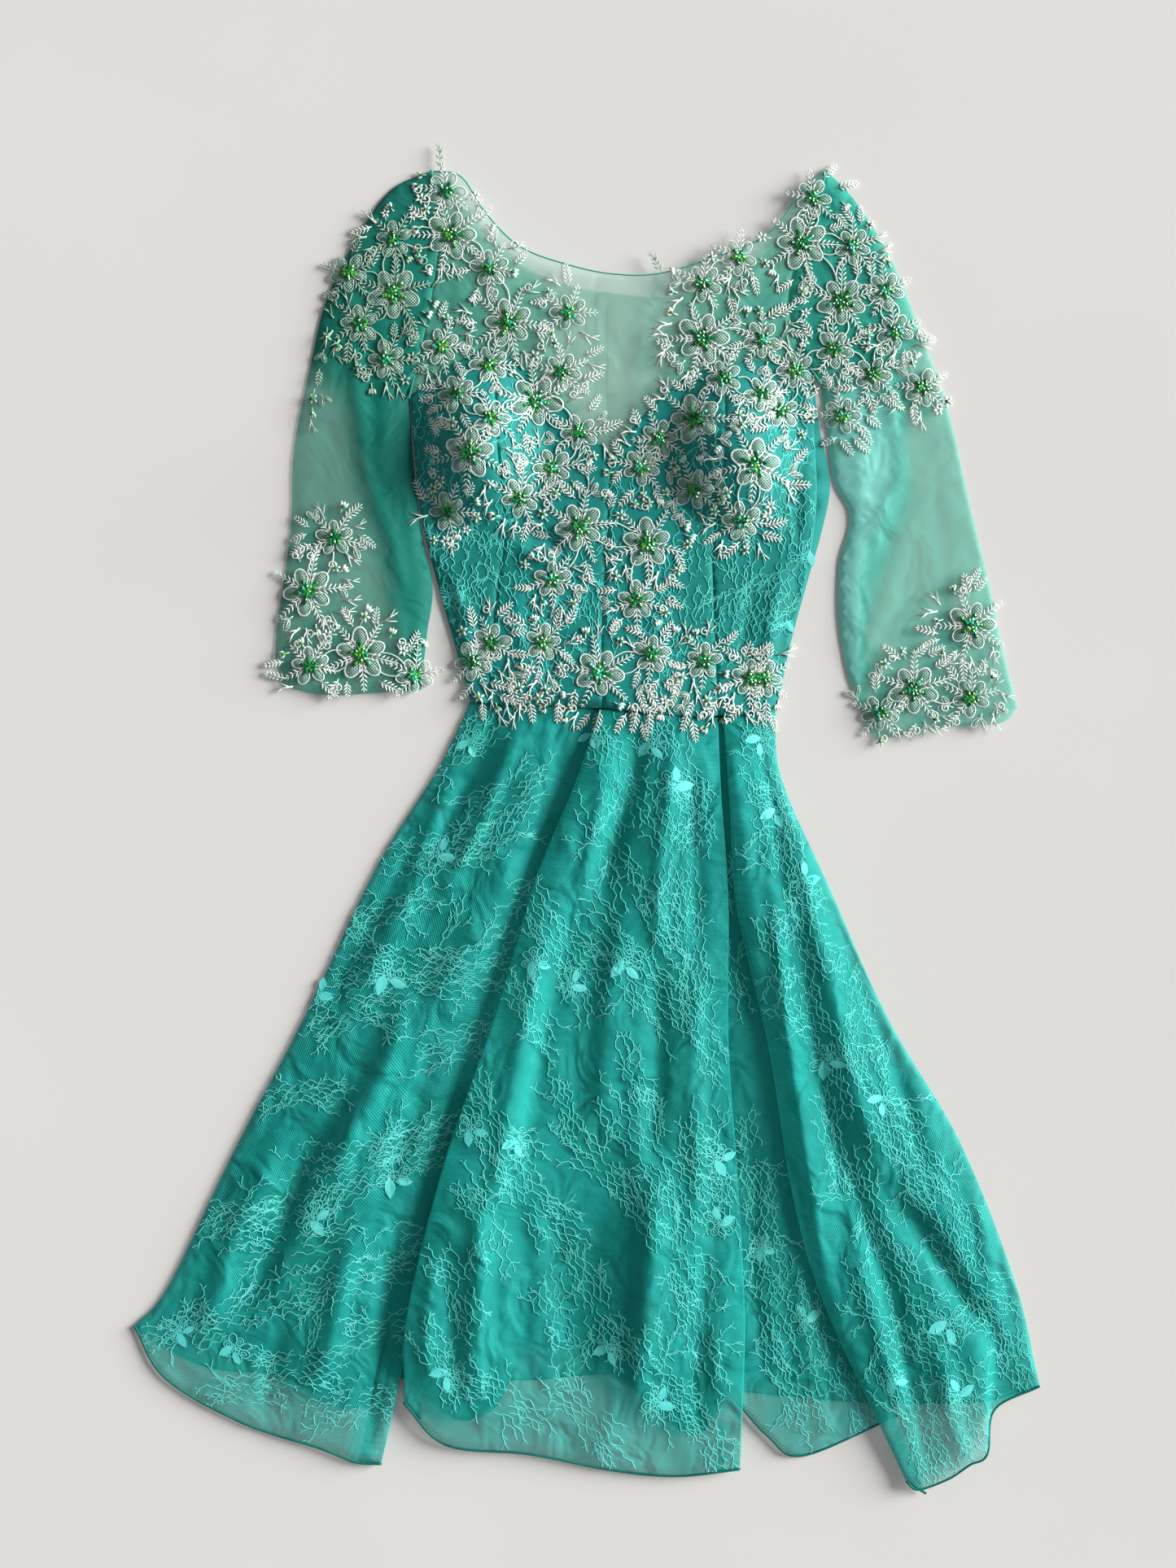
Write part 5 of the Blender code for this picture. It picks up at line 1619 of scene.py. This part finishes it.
for x, y, radius, turn, kind, index in flowers:
    models = flower_models[kind]
    flower = placed(models[index % len(models)], x, y, turn)
    sewn[region_of(x, y)].append(seated(flower, FLOWER_LIFT))
    for count, out in BEAD_RINGS[kind]:
        for bead in range(count):
            around = turn + bead * math.tau / count + chance.uniform(-0.15, 0.15)
            spot = away_from(x, y, around, out + chance.uniform(-0.5, 0.5))
            bead_spots.append((*spot, around, LARGE_BEAD))
    for petal in range(5):
        around = turn + petal * math.tau / 5
        for reach in ((0.26, 0.35) if kind == "large" and petal % 2 == 0 else (0.29,)):
            bead_spots.append((*away_from(x, y, around, radius * reach), around, MIDDLE_BEAD))

# The sprigs, buds and leaves that fill the gaps between the flowers and edge the whole applique, each
# turned away from the nearest flower. A band of them covers the waist seam, where the lowest hang down.
# The middle of the yoke stays bare.
EDGE_SPRIGS = (TAPERED, TAPERED, FERN, BUD)
INNER_SPRIGS = (FERN, SHORT_FERN, DAISY, LEAVES, BUD, TAPERED, FERN, DAISY)
FILL_LEFT, FILL_LOW = -320, 40
FILL_WIDTH, FILL_HEIGHT = 720, 540
FILL_PITCH = 10.5
FILL_NEAR = 1.0
FILL_FAR = 9.0
FILL_SHIFT = 1.8
BAND_LEFT, BAND_RIGHT = -106, 164
BAND_LOW, BAND_HIGH = -8, 34
RAGGED_WAIST = 6.0
HANGING_BELOW = 2
SPRIG_LIFT = 0.5
# how far along a sprig its bead sits
BEAD_REACH = {DAISY: 8, BUD: 5}
BEADED_SHARE = 0.7
SCROLL_SHARE = 0.22
SCROLL_LIFT = 1.1
BARE_YOKE = ((-4, 465), (0, 423), (7, 375), (20, 322), (48, 362), (60, 409), (53, 462))


def resting(x, y, lift):
    """A point in mm at a lift over the cloth."""
    return x, y, cloth_height(x * MM, y * MM) / MM + lift


def scroll(x, y, heading):
    """A cord that runs out from a point and curls round on itself, laid on the cloth."""
    line = []
    middle = away_from(x, y, heading, 3)
    for step in range(15):
        spot = away_from(*middle, heading + step * 0.5 - 1.6, 3.6 - 0.19 * step)
        line.append(resting(*spot, SCROLL_LIFT))
    return line


for row in range(int(FILL_HEIGHT / (FILL_PITCH * TRIANGLE_ROW))):
    for column in range(int(FILL_WIDTH / FILL_PITCH)):
        x = FILL_LEFT + FILL_PITCH * (column + 0.5 * (row % 2)) + chance.uniform(-FILL_SHIFT, FILL_SHIFT)
        y = FILL_LOW + FILL_PITCH * TRIANGLE_ROW * row + chance.uniform(-FILL_SHIFT, FILL_SHIFT)
        nearest = min(flowers, key=lambda f: math.hypot(x - f[0], y - f[1]) - f[2])
        out_of = math.hypot(x - nearest[0], y - nearest[1])
        clear = min(math.hypot(x - f[0], y - f[1]) / f[2] for f in flowers)
        over = y - between(WAIST_SEAM, x)
        lowest = BAND_LOW + RAGGED_WAIST * math.sin(x / 9)
        over_waist = BAND_LEFT < x < BAND_RIGHT and lowest < over < BAND_HIGH
        if clear < FILL_NEAR or is_inside(BARE_YOKE, x, y):
            continue
        if out_of - nearest[2] > FILL_FAR and not over_waist:
            continue
        if not top_of(front_cloth, x * MM, y * MM):
            continue
        away = math.atan2(y - nearest[1], x - nearest[0]) + chance.uniform(-0.7, 0.7)
        if over_waist and over < HANGING_BELOW:
            away = -math.pi / 2 + chance.uniform(-0.7, 0.7)
        edge = out_of - nearest[2] > FILL_FAR - 4 and (not over_waist or over < HANGING_BELOW)
        which = chance.choice(EDGE_SPRIGS if edge else INNER_SPRIGS)
        size = chance.uniform(0.9, 1.15)
        root = away_from(x, y, away, -5 * size)
        sprig = placed(sprig_models[which], *root, away, size)
        sewn[region_of(x, y)].append(seated(sprig, SPRIG_LIFT))
        if which in BEAD_REACH and chance.random() < BEADED_SHARE:
            spot = away_from(*root, away, BEAD_REACH[which] * size)
            bead_spots.append((*spot, away, SMALL_BEAD))
        if chance.random() < SCROLL_SHARE:
            brides[region_of(x, y)].append(scroll(x, y, away + chance.uniform(1.0, 2.0)))

# A run of single sprigs down the outside of the left sleeve, of the same cotton cord, sewn on one by
# one below the flowers of the shoulder.
SLEEVE_SPRIGS = (
    # x, y, direction in degrees, model, size
    (-223, 421, 262, DAISY, 1.1), (-217, 409, 300, BUD, 1.0), (-226, 402, 250, LEAVES, 0.9),
    (-216, 396, 330, TAPERED, 0.7), (-230, 385, 262, SHORT_FERN, 1.0), (-234, 368, 255, DAISY, 1.1),
    (-229, 364, 300, LEAVES, 0.9), (-236, 352, 268, BUD, 1.0), (-238, 342, 285, TAPERED, 0.8),
)
for x, y, degrees, which, size in SLEEVE_SPRIGS:
    away = math.radians(degrees)
    sprig = placed(sprig_models[which], x, y, away, size)
    sewn["applique_sleeve_left"].append(seated(sprig, SPRIG_LIFT))
    if which in BEAD_REACH:
        bead_spots.append((*away_from(x, y, away, BEAD_REACH[which] * size), away, MIDDLE_BEAD))

# The brides: short bowed cords of the same cotton, which tie each flower to the ones beside it and
# make the applique one openwork piece. The left sleeve's lies in shade and shows greyer cord.
BRIDE_CORD = 0.6
BRIDE_LIFT = 0.9
for first, (x, y, radius, *_) in enumerate(flowers):
    for other_x, other_y, other_radius, *_ in flowers[first + 1:]:
        gap = math.hypot(other_x - x, other_y - y)
        if gap < (radius + other_radius) * 1.05:
            heading = math.atan2(other_y - y, other_x - x)
            for offset in (-0.4, 0.45):
                x0, y0 = away_from(x, y, heading + offset, radius * 0.6)
                x1, y1 = away_from(other_x, other_y, heading - offset, -other_radius * 0.6)
                line = []
                for step in range(8):
                    t = step / 7
                    bow = 3.0 * math.sin(math.pi * t) * (1 if offset > 0 else -1)
                    spot = away_from(x0 + (x1 - x0) * t, y0 + (y1 - y0) * t, heading, 0, bow)
                    line.append(resting(*spot, BRIDE_LIFT))
                brides[region_of(x, y)].append(line)

SHADED_COTTON = dyed("cotton_cord_shaded", 0.75, (0.42, 0.57, 0.47), (0.29, 0.44, 0.35), 55.0,
                     0.4, 0.7)[0]


def shade(piece):
    """Gives a piece's cords the greyer cotton that they show in the shade."""
    for slot in piece.material_slots:
        if slot.material == COTTON:
            slot.material = SHADED_COTTON


for name, parts in sewn.items():
    if brides[name]:
        parts.append(cords(name + "_brides", brides[name], BRIDE_CORD, COTTON))
    piece = joined(name, parts)
    belongs(piece)
    if name == "applique_waist":
        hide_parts("waist_applique")
    # The left sleeve's cords, its sprigs and brides with them, get the greyer cotton as painted shade.
    if name == "applique_sleeve_left":
        shade(piece)

# The two free sprigs, of the same cotton cord, sewn down at their roots: one stands past the left
# shoulder and one past the front neck edge.
SPRIGS = (
    # name, root x, root y, length, direction in degrees
    ("sprig_shoulder", -125.5, 555.0, 25.6, 93.0),
    ("sprig_neck", 64.0, 467.6, 18.0, 118.0),
)
for name, x, y, length, degrees in SPRIGS:
    turn = math.radians(degrees)
    fern = fern_model(length * 0.8, 3)
    tip = placed(sprig_models[TAPERED], length * 0.5, 0.0, 0.0, 0.72)
    sprig = joined(name + "_cord", [fern, tip])
    # The free sprigs' cords get the greyer cotton as painted shade too.
    shade(sprig)
    height = body_height(x, y) * MM
    sprig.data.transform(Matrix.Translation((x * MM, y * MM, height)) @ Matrix.Rotation(turn, 4, "Z"))
    belongs(sprig)
    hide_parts(name)
discard(*flower_models["large"], *flower_models["small"], *sprig_models, seed, leaflet)

# The beads: small faceted glass in greens, some with a turquoise coating. They are sewn in rings in the
# flowers' centres, at the roots of the petals and on some of the daisies and buds.
GLASS_COLOURS = (
    # where the colour starts between 0 and 1, colour
    (0.0, (0.004, 0.12, 0.03)), (0.35, (0.01, 0.24, 0.06)), (0.6, (0.03, 0.38, 0.09)),
    (0.78, (0.10, 0.42, 0.04)), (0.9, (0.08, 0.62, 0.48)),
)
GLASS, tree, shader = new_material("green_glass", (0.02, 0.42, 0.08), 0.12)
place = node(tree, "ShaderNodeTexCoord").outputs["Object"]
cell = node(tree, "ShaderNodeTexVoronoi", {"Vector": place, "Scale": 260.0})
value = node(tree, "ShaderNodeSeparateColor", {"Color": cell.outputs["Color"]})
ramp = node(tree, "ShaderNodeValToRGB", {"Fac": value.outputs["Red"]})
ramp.color_ramp.interpolation = "CONSTANT"
stops = ramp.color_ramp.elements
stops.remove(stops[-1])
for start, colour in GLASS_COLOURS:
    stop = stops.new(start) if start else stops[0]
    stop.color = (*colour, 1.0)
tree.links.new(ramp.outputs["Color"], shader.inputs["Base Color"])
shader.inputs["Coat Weight"].default_value = 0.6
shader.inputs["Coat Roughness"].default_value = 0.05

bpy.ops.object.select_all(action="DESELECT")
bpy.ops.mesh.primitive_ico_sphere_add(subdivisions=1, radius=MM)
bead_model = bpy.context.object
bead_model.scale = (1.3, 0.95, 0.85)
bpy.ops.object.transform_apply(location=False, rotation=False, scale=True)
bead_model.data.materials.append(GLASS)
beads = []
for x, y, turn, size in bead_spots:
    bead = placed(bead_model, x, y, turn + chance.uniform(-0.5, 0.5), size)
    height = cloth_height(x * MM, y * MM) + (0.9 + 0.5 * size) * MM
    bead.data.transform(Matrix.Translation((0.0, 0.0, height)))
    beads.append(bead)
discard(bead_model)
belongs(joined("glass_beads", beads))
